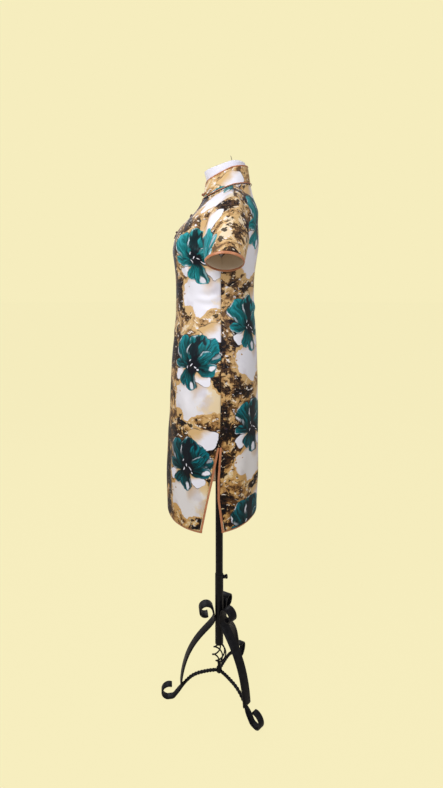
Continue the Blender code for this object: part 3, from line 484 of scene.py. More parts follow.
def facing_out(obj, weld=0.0):
    """Turns a closed piece's faces outward, after joining points nearer than weld."""
    bm = bmesh.new()
    bm.from_mesh(obj.data)
    if weld:
        bmesh.ops.remove_doubles(bm, verts=bm.verts, dist=weld)
    bmesh.ops.recalc_face_normals(bm, faces=bm.faces)
    if bm.calc_volume(signed=True) < 0:
        bmesh.ops.reverse_faces(bm, faces=bm.faces)
    bm.to_mesh(obj.data)
    bm.free()
    return obj


def lofted_piece(name, rings, materials, uv=None):
    """A closed piece through rings of points, capped at both ends."""
    number, count = rings.shape[:2]
    last = (number - 1) * count
    caps = [tuple(reversed(range(count))), tuple(range(last, last + count))]
    return facing_out(mesh_piece(name, rings, grid_faces(number, count, True) + caps, materials, uv))


# ---------------------------------------------------------------- materials
class Value:
    """A node's output. Arithmetic on it adds a math node, or a vector math node where it is a vector."""

    def __init__(self, nodes, socket):
        self.nodes, self.socket = nodes, socket

    def worked(self, operation, *values):
        one_number = self.socket.type == "VALUE"
        return self.nodes.math(operation, *values) if one_number else self.nodes.vector(operation, *values)

    def __add__(self, other):
        return self.worked("ADD", self, other)

    def __sub__(self, other):
        return self.worked("SUBTRACT", self, other)

    def __rsub__(self, other):
        return self.worked("SUBTRACT", other, self)

    def __mul__(self, other):
        return self.worked("MULTIPLY", self, other)

    def __truediv__(self, other):
        return self.worked("DIVIDE", self, other)

    def __pow__(self, other):
        return self.worked("POWER", self, other)

    def __abs__(self):
        return self.worked("ABSOLUTE", self)


class Nodes:
    """Shorthand for building a node tree."""

    def __init__(self, tree):
        self.tree = tree

    def join(self, value, socket):
        value = getattr(value, "socket", value)
        if isinstance(value, bpy.types.NodeSocket):
            self.tree.links.new(value, socket)
        else:
            socket.default_value = value

    def add(self, kind, inputs=(), **settings):
        node = self.tree.nodes.new(kind)
        for name, value in settings.items():
            setattr(node, name, value)
        for name, value in dict(inputs).items():
            self.join(value, node.inputs[name])
        return node

    def made(self, kind, inputs=(), output=0, **settings):
        """One output of a new node."""
        return Value(self, self.add(kind, inputs, **settings).outputs[output])

    def math(self, operation, *values, clamp=False):
        return self.made("ShaderNodeMath", enumerate(values), operation=operation, use_clamp=clamp)

    def vector(self, operation, *values):
        output = "Value" if operation in ("LENGTH", "DOT_PRODUCT") else 0
        return self.made("ShaderNodeVectorMath", enumerate(values), output, operation=operation)

    def step(self, value, low, high, bottom=0.0, top=1.0):
        """Rises smoothly from bottom to top as value goes from low to high."""
        inputs = enumerate((value, low, high, bottom, top))
        return self.made("ShaderNodeMapRange", inputs, interpolation_type="SMOOTHSTEP")

    def mix(self, factor, first, second):
        colours = [(*value, 1.0) if isinstance(value, tuple) else value for value in (first, second)]
        return self.made("ShaderNodeMix", {0: factor, 6: colours[0], 7: colours[1]}, 2, data_type="RGBA")

    def layered(self, colour, *layers):
        """Colours laid over one another: each to its share, where its value goes from low to high."""
        for value, low, high, share, over in layers:
            colour = self.mix(self.step(value, low, high, 0.0, share), colour, over)
        return colour

    def noise(self, place, scale, detail=3.0, roughness=0.5, output="Fac"):
        inputs = {"Vector": place, "Scale": scale, "Detail": detail, "Roughness": roughness}
        return self.made("ShaderNodeTexNoise", inputs, output)

    def threads(self, place, scale, **inputs):
        """Slanting waves, as fine as threads."""
        inputs = {"Vector": place, "Scale": scale, **inputs}
        return self.made("ShaderNodeTexWave", inputs, "Fac", bands_direction="DIAGONAL")

    def spot(self, x, y, z=0.0):
        return self.made("ShaderNodeCombineXYZ", enumerate((x, y, z)))

    def parts(self, vector):
        node = self.add("ShaderNodeSeparateXYZ", {"Vector": vector})
        return [Value(self, output) for output in node.outputs]

    def deeper(self, colour, gamma):
        return self.made("ShaderNodeGamma", {"Color": colour, "Gamma": gamma})

    def on_object(self):
        return self.made("ShaderNodeTexCoord", output="Object")

    def on_cloth(self):
        """Places on the print, or along and round a cord, in metres."""
        return self.made("ShaderNodeUVMap", uv_map="print")


class Material(Nodes):
    """A Principled material while it is built."""

    def __init__(self, name, roughness, specular=0.5, metallic=0.0, sheen=0.0, sheen_roughness=0.4):
        self.material = bpy.data.materials.new(name)
        self.material.use_nodes = True
        super().__init__(self.material.node_tree)
        self.shader = self.tree.nodes["Principled BSDF"].inputs
        settings = {
            "Roughness": roughness, "Specular IOR Level": specular, "Metallic": metallic,
            "Sheen Weight": sheen, "Sheen Roughness": sheen_roughness,
        }
        for setting, value in settings.items():
            self.shader[setting].default_value = value

    def painted(self, colour, height, strength, distance):
        """The material with its colour joined, and a bump of this height."""
        bump = self.made("ShaderNodeBump", {"Height": height, "Strength": strength, "Distance": distance})
        self.join(colour, self.shader["Base Color"])
        self.join(bump, self.shader["Normal"])
        return self.material


def srgb(*screen):
    """A colour given as screen values of 0 to 255, made linear."""
    shares = [value / 255 for value in screen]
    return tuple(v / 12.92 if v <= 0.04045 else ((v + 0.055) / 1.055) ** 2.4 for v in shares)


# Colours of the print.
TEAL_LIGHT, TEAL, TEAL_DEEP = srgb(44, 166, 176), srgb(10, 114, 117), srgb(4, 52, 57)
NAVY, SLATE = srgb(16, 17, 27), srgb(62, 60, 84)
WHITE, LAVENDER, CREAM = srgb(235, 235, 244), srgb(206, 200, 212), srgb(234, 216, 184)
GOLD, TAN, BROWN, DARK_BROWN = srgb(212, 177, 124), srgb(176, 138, 90), srgb(98, 71, 47), srgb(34, 25, 20)

CELL = 0.287  # the print repeats at this distance, each column half a step lower than the last
FLOWER_UP = 0.175  # of a flower's middle above its cell's bottom
STAMEN_LONG, STAMEN_WIDE = 0.0052, 0.0017

# The flower's petals, from the back to the front: the base and the tip about the flower's middle, half the
# width, then from 0 to 1 how dark its heart is, how white its edge is and how white its tip is, and 1 for a
# petal that is white all over.
PETALS = (
    (0.004, 0.100, 0.088, 0.078, 0.027, 0.0, 0.0, 0.0, 1.0),
    (-0.012, -0.014, -0.064, -0.038, 0.016, 0.0, 0.0, 0.0, 1.0),
    (-0.004, -0.004, -0.070, 0.002, 0.014, 0.5, 0.8, 0.0, 0.0),
    (0.016, 0.004, 0.084, 0.026, 0.017, 0.2, 1.0, 0.4, 0.0),
    (0.000, 0.004, 0.060, 0.062, 0.030, 0.2, 0.4, 0.0, 0.0),
    (0.010, -0.016, 0.058, -0.048, 0.018, 0.0, 0.0, 0.0, 1.0),
    (-0.004, -0.004, -0.056, 0.072, 0.032, 0.2, 1.0, 0.0, 0.0),
    (0.002, -0.004, 0.074, -0.010, 0.020, 0.3, 0.3, 1.0, 0.0),
    (0.000, -0.002, 0.012, 0.084, 0.034, 1.0, 0.9, 0.0, 0.0),
    (0.004, 0.000, 0.052, 0.032, 0.017, 0.2, 0.5, 0.0, 0.0),
    (-0.004, -0.004, -0.034, -0.052, 0.016, 0.4, 0.5, 0.0, 0.0),
    (0.000, -0.004, 0.004, -0.070, 0.021, 0.6, 0.3, 0.9, 0.0),
)
# Its stamens: where each stands about the middle, and which way it points in degrees.
STAMENS = (
    (-0.009, 0.016, 62), (-0.001, 0.004, 55), (0.010, -0.002, -30), (0.019, -0.012, -35),
    (-0.012, -0.006, 95),
)
# The cloud below the flower: middles and half sizes of its lobes.
CLOUD = ((0.004, -0.094, 0.070, 0.054), (0.020, -0.060, 0.046, 0.032), (0.056, -0.096, 0.042, 0.036))


def petal_group():
    """A node group that paints one petal over the colour it is given."""
    tree = bpy.data.node_groups.new("petal", "ShaderNodeTree")
    numbers = ("Angle", "Length", "Width", "Dark", "Edge", "Tip", "Pale", "Depth")
    sockets = {"Under": "Color", "Place": "Vector", "Base": "Vector", **dict.fromkeys(numbers, "Float")}
    for name, kind in sockets.items():
        tree.interface.new_socket(name, in_out="INPUT", socket_type=f"NodeSocket{kind}")
    tree.interface.new_socket("Colour", in_out="OUTPUT", socket_type="NodeSocketColor")
    n = Nodes(tree)
    given = {output.name: Value(n, output) for output in n.add("NodeGroupInput").outputs}
    away = {"Vector": given["Place"] - given["Base"], "Angle": given["Angle"] * -1.0}
    x, y, _ = n.parts(n.made("ShaderNodeVectorRotate", away, rotation_type="Z_AXIS"))
    along, across = x / given["Length"], y / given["Width"]
    # A blunt petal, widest at three quarters of its length.
    held = n.math("MINIMUM", n.math("MAXIMUM", along, 0.0), 1.0)
    blunt = n.math("SQRT", 1.0 - held**4.5)
    inside = held**0.55 * blunt * 1.37 - abs(across)
    shown = n.step(inside, 0.0, 0.05)
    # Its teal, streaked from the heart to the tip.
    streak = n.noise(n.spot(along * 1.3, across * 3.4, given["Angle"] * 5.0), 1.3, 3.0, 0.55)
    patch = n.noise(n.spot(along, across, given["Angle"] * 9.0), 2.4, 1.0)
    tone = along * 0.42 + streak * 0.95
    veins = n.math("SINE", across * 9.0 + streak * 22.0)
    colour = n.layered(
        TEAL_DEEP,
        (tone, 0.48, 0.68, 1.0, TEAL),
        (tone, 0.71, 0.88, 0.9, TEAL_LIGHT),
        (veins, 0.84, 0.97, 0.6, TEAL_DEEP),
    )
    # Painted shade: the teal is darkened toward the hem, and lightened near the top, by the gamma it is
    # given.
    colour = n.deeper(colour, given["Depth"])
    heart = n.math("MAXIMUM", given["Dark"] * n.step(patch, 0.42, 0.52), n.step(along, 0.42, 0.12))
    colour = n.mix(heart * n.step(inside, 0.10, 0.35) * 0.92, colour, NAVY)
    # Its white edge along one side, and its white tip.
    rim = n.step(inside, 0.34, 0.16) * n.step(across + streak * 0.9, 0.30, 0.62) * n.step(streak, 0.42, 0.54)
    rim = rim * given["Edge"] * n.step(along, 0.35, 0.60)
    from_tip = n.vector("LENGTH", n.spot((along - 0.80) * 6.0, (across - 0.12) * 2.6))
    tip = n.step(from_tip, 1.15, 0.70) * given["Tip"]
    colour = n.mix(n.math("MAXIMUM", rim, tip, clamp=True), colour, WHITE)
    fade = along + (across - 0.2) * -0.22
    pale = n.mix(n.step(fade + patch * 0.3, 0.85, 0.40), WHITE, GOLD)
    colour = n.mix(given["Pale"], colour, pale)
    # A dark line inside its outline and a shade outside it.
    colour = n.mix(n.step(inside, 0.09, 0.04) * 0.75, colour, NAVY)
    shade = n.math("SUBTRACT", n.step(inside, -0.10, 0.0), shown, clamp=True)
    beside = n.step(along, 0.0, 0.2) * n.step(along, 1.04, 0.97)
    under = n.mix(shade * 0.7 * beside, given["Under"], NAVY)
    n.join(n.mix(shown, under, colour), n.add("NodeGroupOutput").inputs[0])
    return tree


def painted_ground(n, place, cell_x, base, rise):
    """Gold-tan ground, marbled with dark brown and navy, with pale and dark specks.

    base is how dark it is down the middle of a column, and rise how much darker halfway to the next."""
    moved = place + (n.noise(place, 14.0, output="Color") - (0.5, 0.5, 0.5)) * (0.05, 0.05, 0)
    marble = n.noise(moved, 30.0, 5.0, 0.62) - min(rise, 0.0) * 0.5
    fine = n.noise(moved, 105.0, 4.0, 0.6)
    edge = abs(cell_x / (CELL / 2))
    large = n.noise(moved + (0.7, 0.2, 0), 13.0, 4.0, 0.6) * 1.45 + (edge * rise + base) + (fine - 0.5) * 0.42
    blots = n.mix(n.step(n.noise(place, 9.0, 1.0), 0.45, 0.55), DARK_BROWN, NAVY)
    pale, dark, _ = n.parts(n.noise(moved * (1.0, 1.5, 1.0), 62.0, 3.0, 0.6, output="Color"))
    pale = pale - edge * 0.05 - n.step(large, 0.50, 0.56, 0.0, 0.03)
    return n.layered(
        TAN,
        (marble, 0.485, 0.52, 1.0, GOLD),
        (marble, 0.590, 0.610, 0.9, CREAM),
        (marble, 0.450, 0.430, 0.9, BROWN),
        (large, 0.480, 0.492, 0.94, BROWN),
        (large, 0.522, 0.534, 1.0, n.layered(blots, (fine, 0.53, 0.57, 0.7, BROWN))),
        (large, 0.70, 0.73, 0.8, SLATE),
        (pale, 0.572, 0.590, 1.0, n.mix(n.step(fine, 0.46, 0.54), CREAM, WHITE)),
        (dark, 0.60, 0.62, 0.9, DARK_BROWN),
    )


def painted_cloud(n, colour, place):
    """White patches with a soft cream side and a wavering outline."""
    wave = n.noise(place, 22.0, 4.0, 0.6) - 0.5
    lobes = []
    for x, y, wide, high in CLOUD:
        lobes.append(1.0 - n.vector("LENGTH", (place - (x, y, 0)) * (1 / wide, 1 / high, 0)))
    inside = n.math("MAXIMUM", n.math("MAXIMUM", lobes[0], lobes[1]), lobes[2]) + wave * 1.3
    x, y, _ = n.parts(place)
    shade = n.noise(place + (0.3, 0.1, 0), 16.0, 2.0)
    blush = n.step(n.noise(place, 11.0, 1.0), 0.50, 0.66) * n.step(y, -0.12, -0.06)
    dots = n.step(n.noise(place, 75.0, 2.0, 0.4), 0.70, 0.72) * n.step(inside, 0.5, 0.2)
    bands = x * 14.0 + wave * 3.0
    fill = n.layered(WHITE, (bands, 0.45, 1.0, 1.0, CREAM), (shade, 0.48, 0.62, 0.5, LAVENDER))
    fill = n.mix(dots, n.mix(blush * 0.7, fill, GOLD), TAN)
    return n.layered(colour, (inside, -0.16, -0.11, 1.0, GOLD), (inside, 0.0, 0.035, 1.0, fill))


def printed_satin(name, base, rise):
    """The print: half-dropped columns of teal flowers and white clouds on a marbled ground."""
    n = Material(name, 0.50, 0.17, sheen=0.02)
    place = n.on_cloth()
    x, y, _ = n.parts(place + (n.noise(place, 24.0, output="Color") - (0.5, 0.5, 0.5)) * (0.030, 0.030, 0))
    column = n.math("FLOOR", x / CELL)
    cell_x = x - column * CELL - CELL / 2
    y = y + n.math("MODULO", abs(column), 2.0) * (CELL / 2)
    cell_y = y - n.math("FLOOR", y / CELL) * CELL - FLOWER_UP
    spot = n.spot(cell_x, cell_y)
    colour = painted_cloud(n, painted_ground(n, place, cell_x, base, rise), spot)
    # Painted shade: the colours turn darker and warmer toward the hem, where the light falls off.
    height = n.parts(n.on_object())[2]
    falloff_shaded = n.deeper(colour, n.step(height, 1.30, 0.75, 1.0, 1.22))
    colour = n.mix(n.step(height, 1.25, 0.80), falloff_shaded, falloff_shaded * (0.98, 0.95, 0.84))
    # Painted shade for the petals: a gamma that deepens their teal toward the hem and lightens it near the
    # top.
    petal_falloff_shade = n.step(height, 1.50, 0.80, 0.88, 1.75)
    group = bpy.data.node_groups.get("petal") or petal_group()
    for x0, y0, x1, y1, half, dark, edge, tip, pale in PETALS:
        values = {
            "Under": colour, "Place": spot, "Base": (x0, y0, 0), "Angle": math.atan2(y1 - y0, x1 - x0),
            "Length": math.hypot(x1 - x0, y1 - y0), "Width": half, "Dark": dark, "Edge": edge,
            "Tip": tip, "Pale": pale, "Depth": petal_falloff_shade,
        }
        node = n.add("ShaderNodeGroup", node_tree=group)
        for socket, value in values.items():
            n.join(value, node.inputs[socket])
        colour = Value(n, node.outputs[0])
    centre = n.vector("LENGTH", (spot - (0.004, 0.0, 0)) * (1.0, 0.8, 0))
    ragged = centre + n.noise(place, 60.0) * 0.026
    colour = n.mix(n.step(ragged, 0.034, 0.026, 0.0, 0.95), colour, NAVY)
    for x0, y0, turn in STAMENS:
        offset = spot - (x0, y0, 0)
        c, s = math.cos(math.radians(turn)), math.sin(math.radians(turn))
        along = n.vector("DOT_PRODUCT", offset, (c / STAMEN_LONG, s / STAMEN_LONG, 0))
        across = n.vector("DOT_PRODUCT", offset, (-s / STAMEN_WIDE, c / STAMEN_WIDE, 0))
        colour = n.mix(n.step(n.vector("LENGTH", n.spot(along, across)), 1.1, 0.7), colour, WHITE)
    return n.painted(colour, n.threads(place, 420.0, Distortion=0.4), 0.06, 0.0002)


def reverse_satin():
    """The print's plain khaki wrong side."""
    n = Material("satin_reverse", 0.62, 0.30)
    place = n.on_object()
    thread = n.noise(place * (1.0, 1.0, 0.15), 900.0, 1.0)
    colour = n.mix(n.noise(place, 22.0), srgb(246, 228, 200), srgb(253, 242, 222))
    colour = n.mix(n.step(thread, 0.45, 0.60, 0.0, 0.25), colour, srgb(216, 192, 160))
    return n.painted(colour, thread, 0.10, 0.0002)


def copper_satin():
    n = Material("copper_satin_weave", 0.34, 0.55, sheen=0.15)
    place = n.on_object()
    fine = n.noise(place, 800.0, 2.0)
    colour = n.mix(n.noise(place, 60.0), srgb(164, 96, 60), srgb(220, 150, 104))
    colour = n.mix(n.step(fine, 0.52, 0.62, 0.0, 0.35), colour, srgb(112, 62, 38))
    return n.painted(colour, n.noise(place, 170.0, 2.0) + fine * 0.4, 0.25, 0.0006)


def cord_satin(name, dark, light):
    """Rolled satin cord: fine slanting threads, with painted shade in the grooves between them."""
    n = Material(name, 0.38, 0.5, sheen=0.2)
    thread = n.threads(n.on_cloth(), 160.0, **{"Distortion": 1.5, "Detail Scale": 3.0})
    # Painted shade: the dark colour lies where the threads' bump sinks.
    return n.painted(n.mix(thread, dark, light), thread, 0.4, 0.0004)


def white_jersey():
    """A knitted cover: fine wales that run up and down, and faint lavender shade."""
    n = Material("white_jersey_knit", 0.82, 0.25, sheen=0.25, sheen_roughness=0.6)
    place = n.on_object()
    wales = n.noise(place * (1.0, 1.0, 0.3), 620.0, 2.0)
    colour = n.mix(n.noise(place, 16.0), srgb(214, 214, 232), srgb(240, 240, 248))
    colour = n.mix(n.step(wales, 0.50, 0.64, 0.0, 0.22), colour, srgb(178, 178, 200))
    return n.painted(colour, wales + n.noise(place, 90.0, 2.0) * 0.6, 0.25, 0.0005)


def black_iron():
    """Satin black lacquer over hammered iron, greyer where it has rubbed."""
    n = Material("black_iron_lacquer", 0.40, 0.2)
    place = n.on_object()
    dents, fine = n.noise(place, 95.0, 2.0, 0.45), n.noise(place, 520.0, 2.0)
    worn = n.step(n.noise(place, 40.0), 0.55, 0.72) * n.step(fine, 0.48, 0.60)
    colour = n.mix(n.step(dents, 0.35, 0.65), srgb(9, 8, 11), srgb(19, 18, 21))
    colour = n.mix(worn * 0.45, colour, srgb(46, 43, 44))
    n.join(n.step(dents, 0.30, 0.70, 0.30, 0.50), n.shader["Roughness"])
    return n.painted(colour, dents + fine * 0.12, 0.45, 0.0012)


def dark_wire():
    n = Material("dark_wire", 0.35, 0.5, metallic=0.9)
    rust = n.noise(n.on_object(), 700.0)
    return n.painted(n.mix(n.step(rust, 0.40, 0.65), srgb(96, 88, 84), srgb(52, 44, 42)), rust, 0.3, 0.0002)


PRINT = printed_satin("printed_satin_weave", -0.308, 0.152)
PALE_PRINT = printed_satin("printed_satin_pale", -0.250, -0.060)
REVERSE, COPPER = reverse_satin(), copper_satin()
COPPER_CORD = cord_satin("copper_cord", srgb(120, 62, 34), srgb(196, 122, 78))
WINE = cord_satin("wine_cord_satin", srgb(34, 6, 12), srgb(116, 22, 34))
JERSEY, IRON, WIRE = white_jersey(), black_iron(), dark_wire()

# ---------------------------------------------------------------- panels
ACROSS, SKIRT_STEP, CHEST_ROWS = 112, 0.0036, 72
ARMHOLE_REACH = 1 - 0.006  # how far out a panel goes above the slit, where the side seam is 1
LAP_ACROSS = 63  # steps across the underlap
LAP_UNDER, LAP_TUCK, LAP_TUCK_OVER = 0.045, 0.0013, 0.06  # how far under it goes, how deep and from where
BAND_STEPS, HEM_BULGE, CUFF_BULGE = 6, 0.0007, 0.0006  # across a binding, and how far its middle stands out
LAP_END, PIPING_END = -0.97, -0.985  # shares where the underlap and the piping stop at the side seam
SHIFT = {"front": (0.0, 0.068), "back": (-0.030, 0.108)}  # where each panel was cut from the print
BACK_LEAN = 0.05  # the back's print leans this much toward the left side seam as it goes down


def overlap_line(count):
    """The overlap's edge as X and Z, from the neck to the side seam: one cubic curve."""
    t = np.linspace(0, 1, count)[:, None]
    a, b, c, d = (np.array(p) for p in OVERLAP)
    return (1 - t) ** 3 * a + 3 * t * (1 - t) ** 2 * b + 3 * t**2 * (1 - t) * c + t**3 * d


def overlap_share(level):
    """Where a row of the front crosses the overlap's edge, or None below it."""
    s = np.linspace(-1, 0.3, 261)
    row = panel_points("front", s, [level])[0]
    line = overlap_line(200)[::-1]
    beyond = row[:, 0] - np.interp(row[:, 2], line[:, 1], line[:, 0])
    covered = (beyond < 0) & (row[:, 2] > OVERLAP[-1][1])
    if not covered.any():
        return None
    last = np.flatnonzero(covered)[-1]
    if last + 1 >= len(s):
        return s[last]
    a, b = beyond[last], beyond[last + 1]
    return s[last] + (s[last + 1] - s[last]) * (-a / (b - a) if b > a else 0.0)


def rows_for(side):
    bottom = FRONT["hem"][1] + HEM_BAND + SEAM
    heights = np.arange(bottom, edge_height(UNDERARM_LEVEL), SKIRT_STEP)
    return np.append(level_of_height(heights), np.linspace(UNDERARM_LEVEL, TOP_LEVEL - 0.008, CHEST_ROWS))


def cloth_grid(side, shares, levels, out):
    """Points and places on the print of a grid of (share, level), a row for each level."""
    points, normals = cloth_rows(side, shares, levels, out)
    places = over_cloth(side, shares, levels) * [1 if side == "front" else -1, 1] + SHIFT[side]
    if side == "back":
        places[..., 0] += BACK_LEAN * (1.23 - points[..., 2])
    return points, normals, places


def panel_reach(side, level):
    """How far out a row of cloth goes, where the side seam is 1."""
    return float(slit_share(side, edge_height(level), SLIT_BAND)) if level < UNDERARM_LEVEL else ARMHOLE_REACH


def build_front(levels, cuts):
    """The front, and the overlap's piping; cuts has the overlap's share on each level, or None."""
    t = np.linspace(0, 1, ACROSS + 1)
    shares = []
    for level, cut in zip(levels, cuts):
        reach = panel_reach("front", level)
        low = -reach if cut is None else max(cut, -reach)
        shares.append(low + (reach - low) * t)
    points, normals, places = cloth_grid("front", np.array(shares), levels, CLOTH_OUT)
    front = cloth_piece("front_cloth", points, (PRINT, REVERSE), places)
    edge_rows = [i for i, cut in enumerate(cuts) if cut is not None and cut > PIPING_END]
    edge = (points[:, 0] + normals[:, 0] * (CLOTH + PIPING * 0.6))[edge_rows]
    piping = tube("overlap_cord", resampled(edge[::-1], 150), PIPING, WINE, around=10)
    finished(piping, "figure", "wine_cord", "overlap_piping")
    return finished(front, "figure", "printed_satin", "front_panel")


def build_underlap(levels, cuts):
    """The part of the chest that the overlap covers, tucked under its edge."""
    lap_levels, shares, tuck = [], [], []
    for level, cut in zip(levels, cuts):
        if cut is None or cut < LAP_END:
            continue
        reach = panel_reach("front", level)
        s = -reach + (cut + LAP_UNDER + reach) * np.linspace(0, 1, LAP_ACROSS + 1)
        lap_levels.append(level)
        shares.append(s)
        tuck.append(CLOTH_OUT - LAP_TUCK * np.clip((s - (cut - LAP_TUCK_OVER)) / LAP_TUCK_OVER, 0, 1))
    points, normals, places = cloth_grid("front", np.array(shares), np.array(lap_levels), 0.0)
    points = points + normals * np.array(tuck)[..., None]
    lap = cloth_piece("right_underlap_cloth", points, (PRINT, REVERSE), places)
    return finished(lap, "figure", "printed_satin", "right_underlap")


def build_back():
    levels = rows_for("back")
    shares = np.array([np.linspace(1, -1, ACROSS + 1) * panel_reach("back", level) for level in levels])
    points, _, places = cloth_grid("back", shares, levels, CLOTH_OUT)
    back = cloth_piece("back_cloth", points, (PRINT, REVERSE), places)
    return finished(back, "figure", "printed_satin", "back_panel")


def satin_band(name, points, closed=False, flip=False):
    """A satin binding from a grid of points, with its edges rounded."""
    obj = cloth_piece(name, points, (COPPER,), None, BINDING, closed, flip)
    bevel = obj.modifiers.new("rounded", "BEVEL")
    bevel.width, bevel.segments, bevel.limit_method = 0.0006, 2, "ANGLE"
    return obj


def hem_binding(side):
    """The satin binding down one slit, along the hem and up the other."""
    low = float(level_of_height(FRONT["hem"][1] + HEM_BAND))
    heights = np.linspace(SLIT_TOP - SLIT_END, FRONT["hem"][1] + HEM_BAND, 70)
    levels = np.append(level_of_height(heights)[:-1], low)
    across = np.linspace(1, -1, ACROSS + 1)[1:-1]
    sign = np.concatenate([np.ones(len(levels)), across, -np.ones(len(levels))])

    def both_sides(values):
        return np.concatenate([values, np.full(len(across), values[-1]), values[::-1]])

    inner = both_sides(slit_share(side, heights, SLIT_BAND - SEAM)) * sign
    outer = both_sides(slit_share(side, heights)) * sign
    rise = both_sides(levels)
    fall = np.where(rise == low, 0.0, rise)
    t = np.linspace(0, 1, BAND_STEPS + 1)[:, None]
    shares, rows = outer + (inner - outer) * t, fall + (rise - fall) * t
    bulge = np.broadcast_to(HEM_BULGE * np.sin(math.pi * t), shares.shape)
    points = np.zeros((*shares.shape, 3))
    for level in np.unique(rows):
        at = rows == level
        found, normals = cloth_rows(side, [shares[at]], [level], seams=False)
        points[at] = found[0] + normals[0] * bulge[at][:, None]
    obj = satin_band(f"{side}_hem_satin", points, flip=side == "back")
    return finished(obj, "figure", "copper_satin", f"{side}_hem_binding")


# ---------------------------------------------------------------- sleeves
RINGS, AROUND = 56, 88
# Creases of a sleeve: from (turn, share) to (turn, share), half width and height. Turn 0 is the outer arm,
# a quarter turn is the front; the share runs from the armhole to the opening.
SLEEVE_CREASES = (
    (0.35, 0.02, 0.55, 0.40, 0.0060, 0.0022),
    (0.75, 0.00, 0.95, 0.55, 0.0055, 0.0030),
    (1.35, 0.05, 1.30, 0.62, 0.0065, 0.0028),
    (-0.30, 0.02, -0.42, 0.36, 0.0060, 0.0020),
    (-0.85, 0.00, -0.95, 0.58, 0.0070, 0.0032),
    (-1.50, 0.05, -1.35, 0.70, 0.0070, 0.0030),
    (0.10, 0.55, 0.80, 0.86, 0.0080, 0.0018),
    (-0.50, 0.62, -1.20, 0.90, 0.0080, 0.0020),
    (2.20, 0.10, 1.90, 0.80, 0.0060, 0.0022),
    (-2.30, 0.12, -2.00, 0.75, 0.0060, 0.0024),
)
SLEEVE_FOLDING = {"size": (0.05, 0.15), "trough": (0.3, 1.6)}  # 5 cm for a radian round, 15 cm down
RIGHT_TURN = 0.12  # the right sleeve's creases lie this much further round
SLEEVE_SHIFT = (-0.3155, 0.022)


def armhole(side, count):
    """The armhole's edge from the shoulder tip, down the front, up the back; side is -1 on the right."""
    levels = UNDERARM_LEVEL + 4 * np.linspace(1, 0, count // 2 + 1)
    front = panel_points("front", [1.0], levels)[:, 0]
    back = panel_points("back", [1.0], levels[::-1])[:, 0]
    return np.concatenate([front, back[1:-1]]) * [side, 1, 1]


def cuff(side, count):
    """The sleeve's opening, with its front corner drawn to a point."""
    turn = full_turn(count)
    middle, out, front = np.array(CUFF_MIDDLE), np.array(CUFF_OUT), np.array(CUFF_FRONT)
    across = np.cos(turn)
    pointed = np.sign(across) * np.abs(across) ** CUFF_POINT
    across = np.where(np.sin(turn) > 0, pointed, across)
    return (middle + out * across[:, None] + front * np.sin(turn)[:, None]) * [side, 1, 1]


def sleeve_ring(side, share, out=0.0):
    """A ring of the sleeve, at its share of the way from the armhole to the opening."""
    top, end, turn = armhole(side, AROUND), cuff(side, AROUND), full_turn(AROUND)
    ring = top + (end - top) * share[:, None]
    away = unit(ring - (top.mean(0) + (end.mean(0) - top.mean(0)) * share[:, None]))
    puff = SLEEVE_PUFF * (0.15 + 0.85 * np.cos(turn / 2) ** 2) * np.sin(math.pi * share) ** 0.8
    signed = np.where(turn > math.pi, turn - 2 * math.pi, turn) - (RIGHT_TURN if side < 0 else 0.0)
    lift = crease_lift(SLEEVE_CREASES, signed, share, **SLEEVE_FOLDING)
    lift *= np.clip(share / 0.12, 0, 1) * np.clip((1 - share) / 0.10, 0.0, 1)
    lift -= SEAM_SINK * np.exp(-((share * 0.15 / 0.003) ** 2))
    return ring + away * (puff + lift + out)[:, None]


def build_sleeve(name, side):
    length = np.linalg.norm(cuff(side, AROUND) - armhole(side, AROUND), axis=1)
    under = (0.5 - 0.5 * np.cos(full_turn(AROUND))) ** 2
    start = (0.0010 + 0.0030 * under) / length
    finish = 1 - (CUFF_BAND + SEAM) / length
    steps = np.linspace(0, 1, RINGS + 1)
    rings = np.array([sleeve_ring(side, start + (finish - start) * f, CLOTH_OUT) for f in steps])
    # Its place on the print: round from the outer arm both ways, and down.
    round_step = np.linalg.norm(np.roll(rings, -1, 1) - rings, axis=2)
    to_point = np.concatenate([np.zeros((len(rings), 1)), np.cumsum(round_step, axis=1)[:, :-1]], 1)
    whole = round_step.sum(1, keepdims=True)
    u = np.where(to_point > whole / 2, whole - to_point, -to_point) * side
    down_step = np.linalg.norm(np.diff(rings, axis=0), axis=2)
    down = np.concatenate([np.zeros((1, AROUND)), np.cumsum(down_step, axis=0)])
    uv = np.stack([u, -down], -1) + SLEEVE_SHIFT
    sleeve = cloth_piece(name + "_cloth", rings, (PALE_PRINT, REVERSE), uv, closed=True, flip=side < 0)
    band = []
    for t in np.linspace(0, 1, BAND_STEPS + 1):
        band.append(sleeve_ring(side, 1 - CUFF_BAND / length * (1 - t), CUFF_BULGE * math.sin(math.pi * t)))
    binding = satin_band(name + "_satin", np.array(band), closed=True, flip=side < 0)
    finished(binding, "figure", "copper_satin", name + "_binding")
    return finished(sleeve, "figure", "printed_satin", name), binding


# ---------------------------------------------------------------- collar
COLLAR_BASE, COLLAR_LEAN, COLLAR_GAP, COLLAR_CORNER, COLLAR_FRONT = 0.0022, 0.17, 0.045, 0.26, 0.80
COLLAR_RADIUS, FASTENING_RISE = 0.067, 0.016
COLLAR_SHIFT = (0.085, -0.040)
COLLAR_WALL, COLLAR_ROWS, COLLAR_CLOTH_TOP = 0.0018, 16, 0.94  # the cloth stops short of the rolled edge


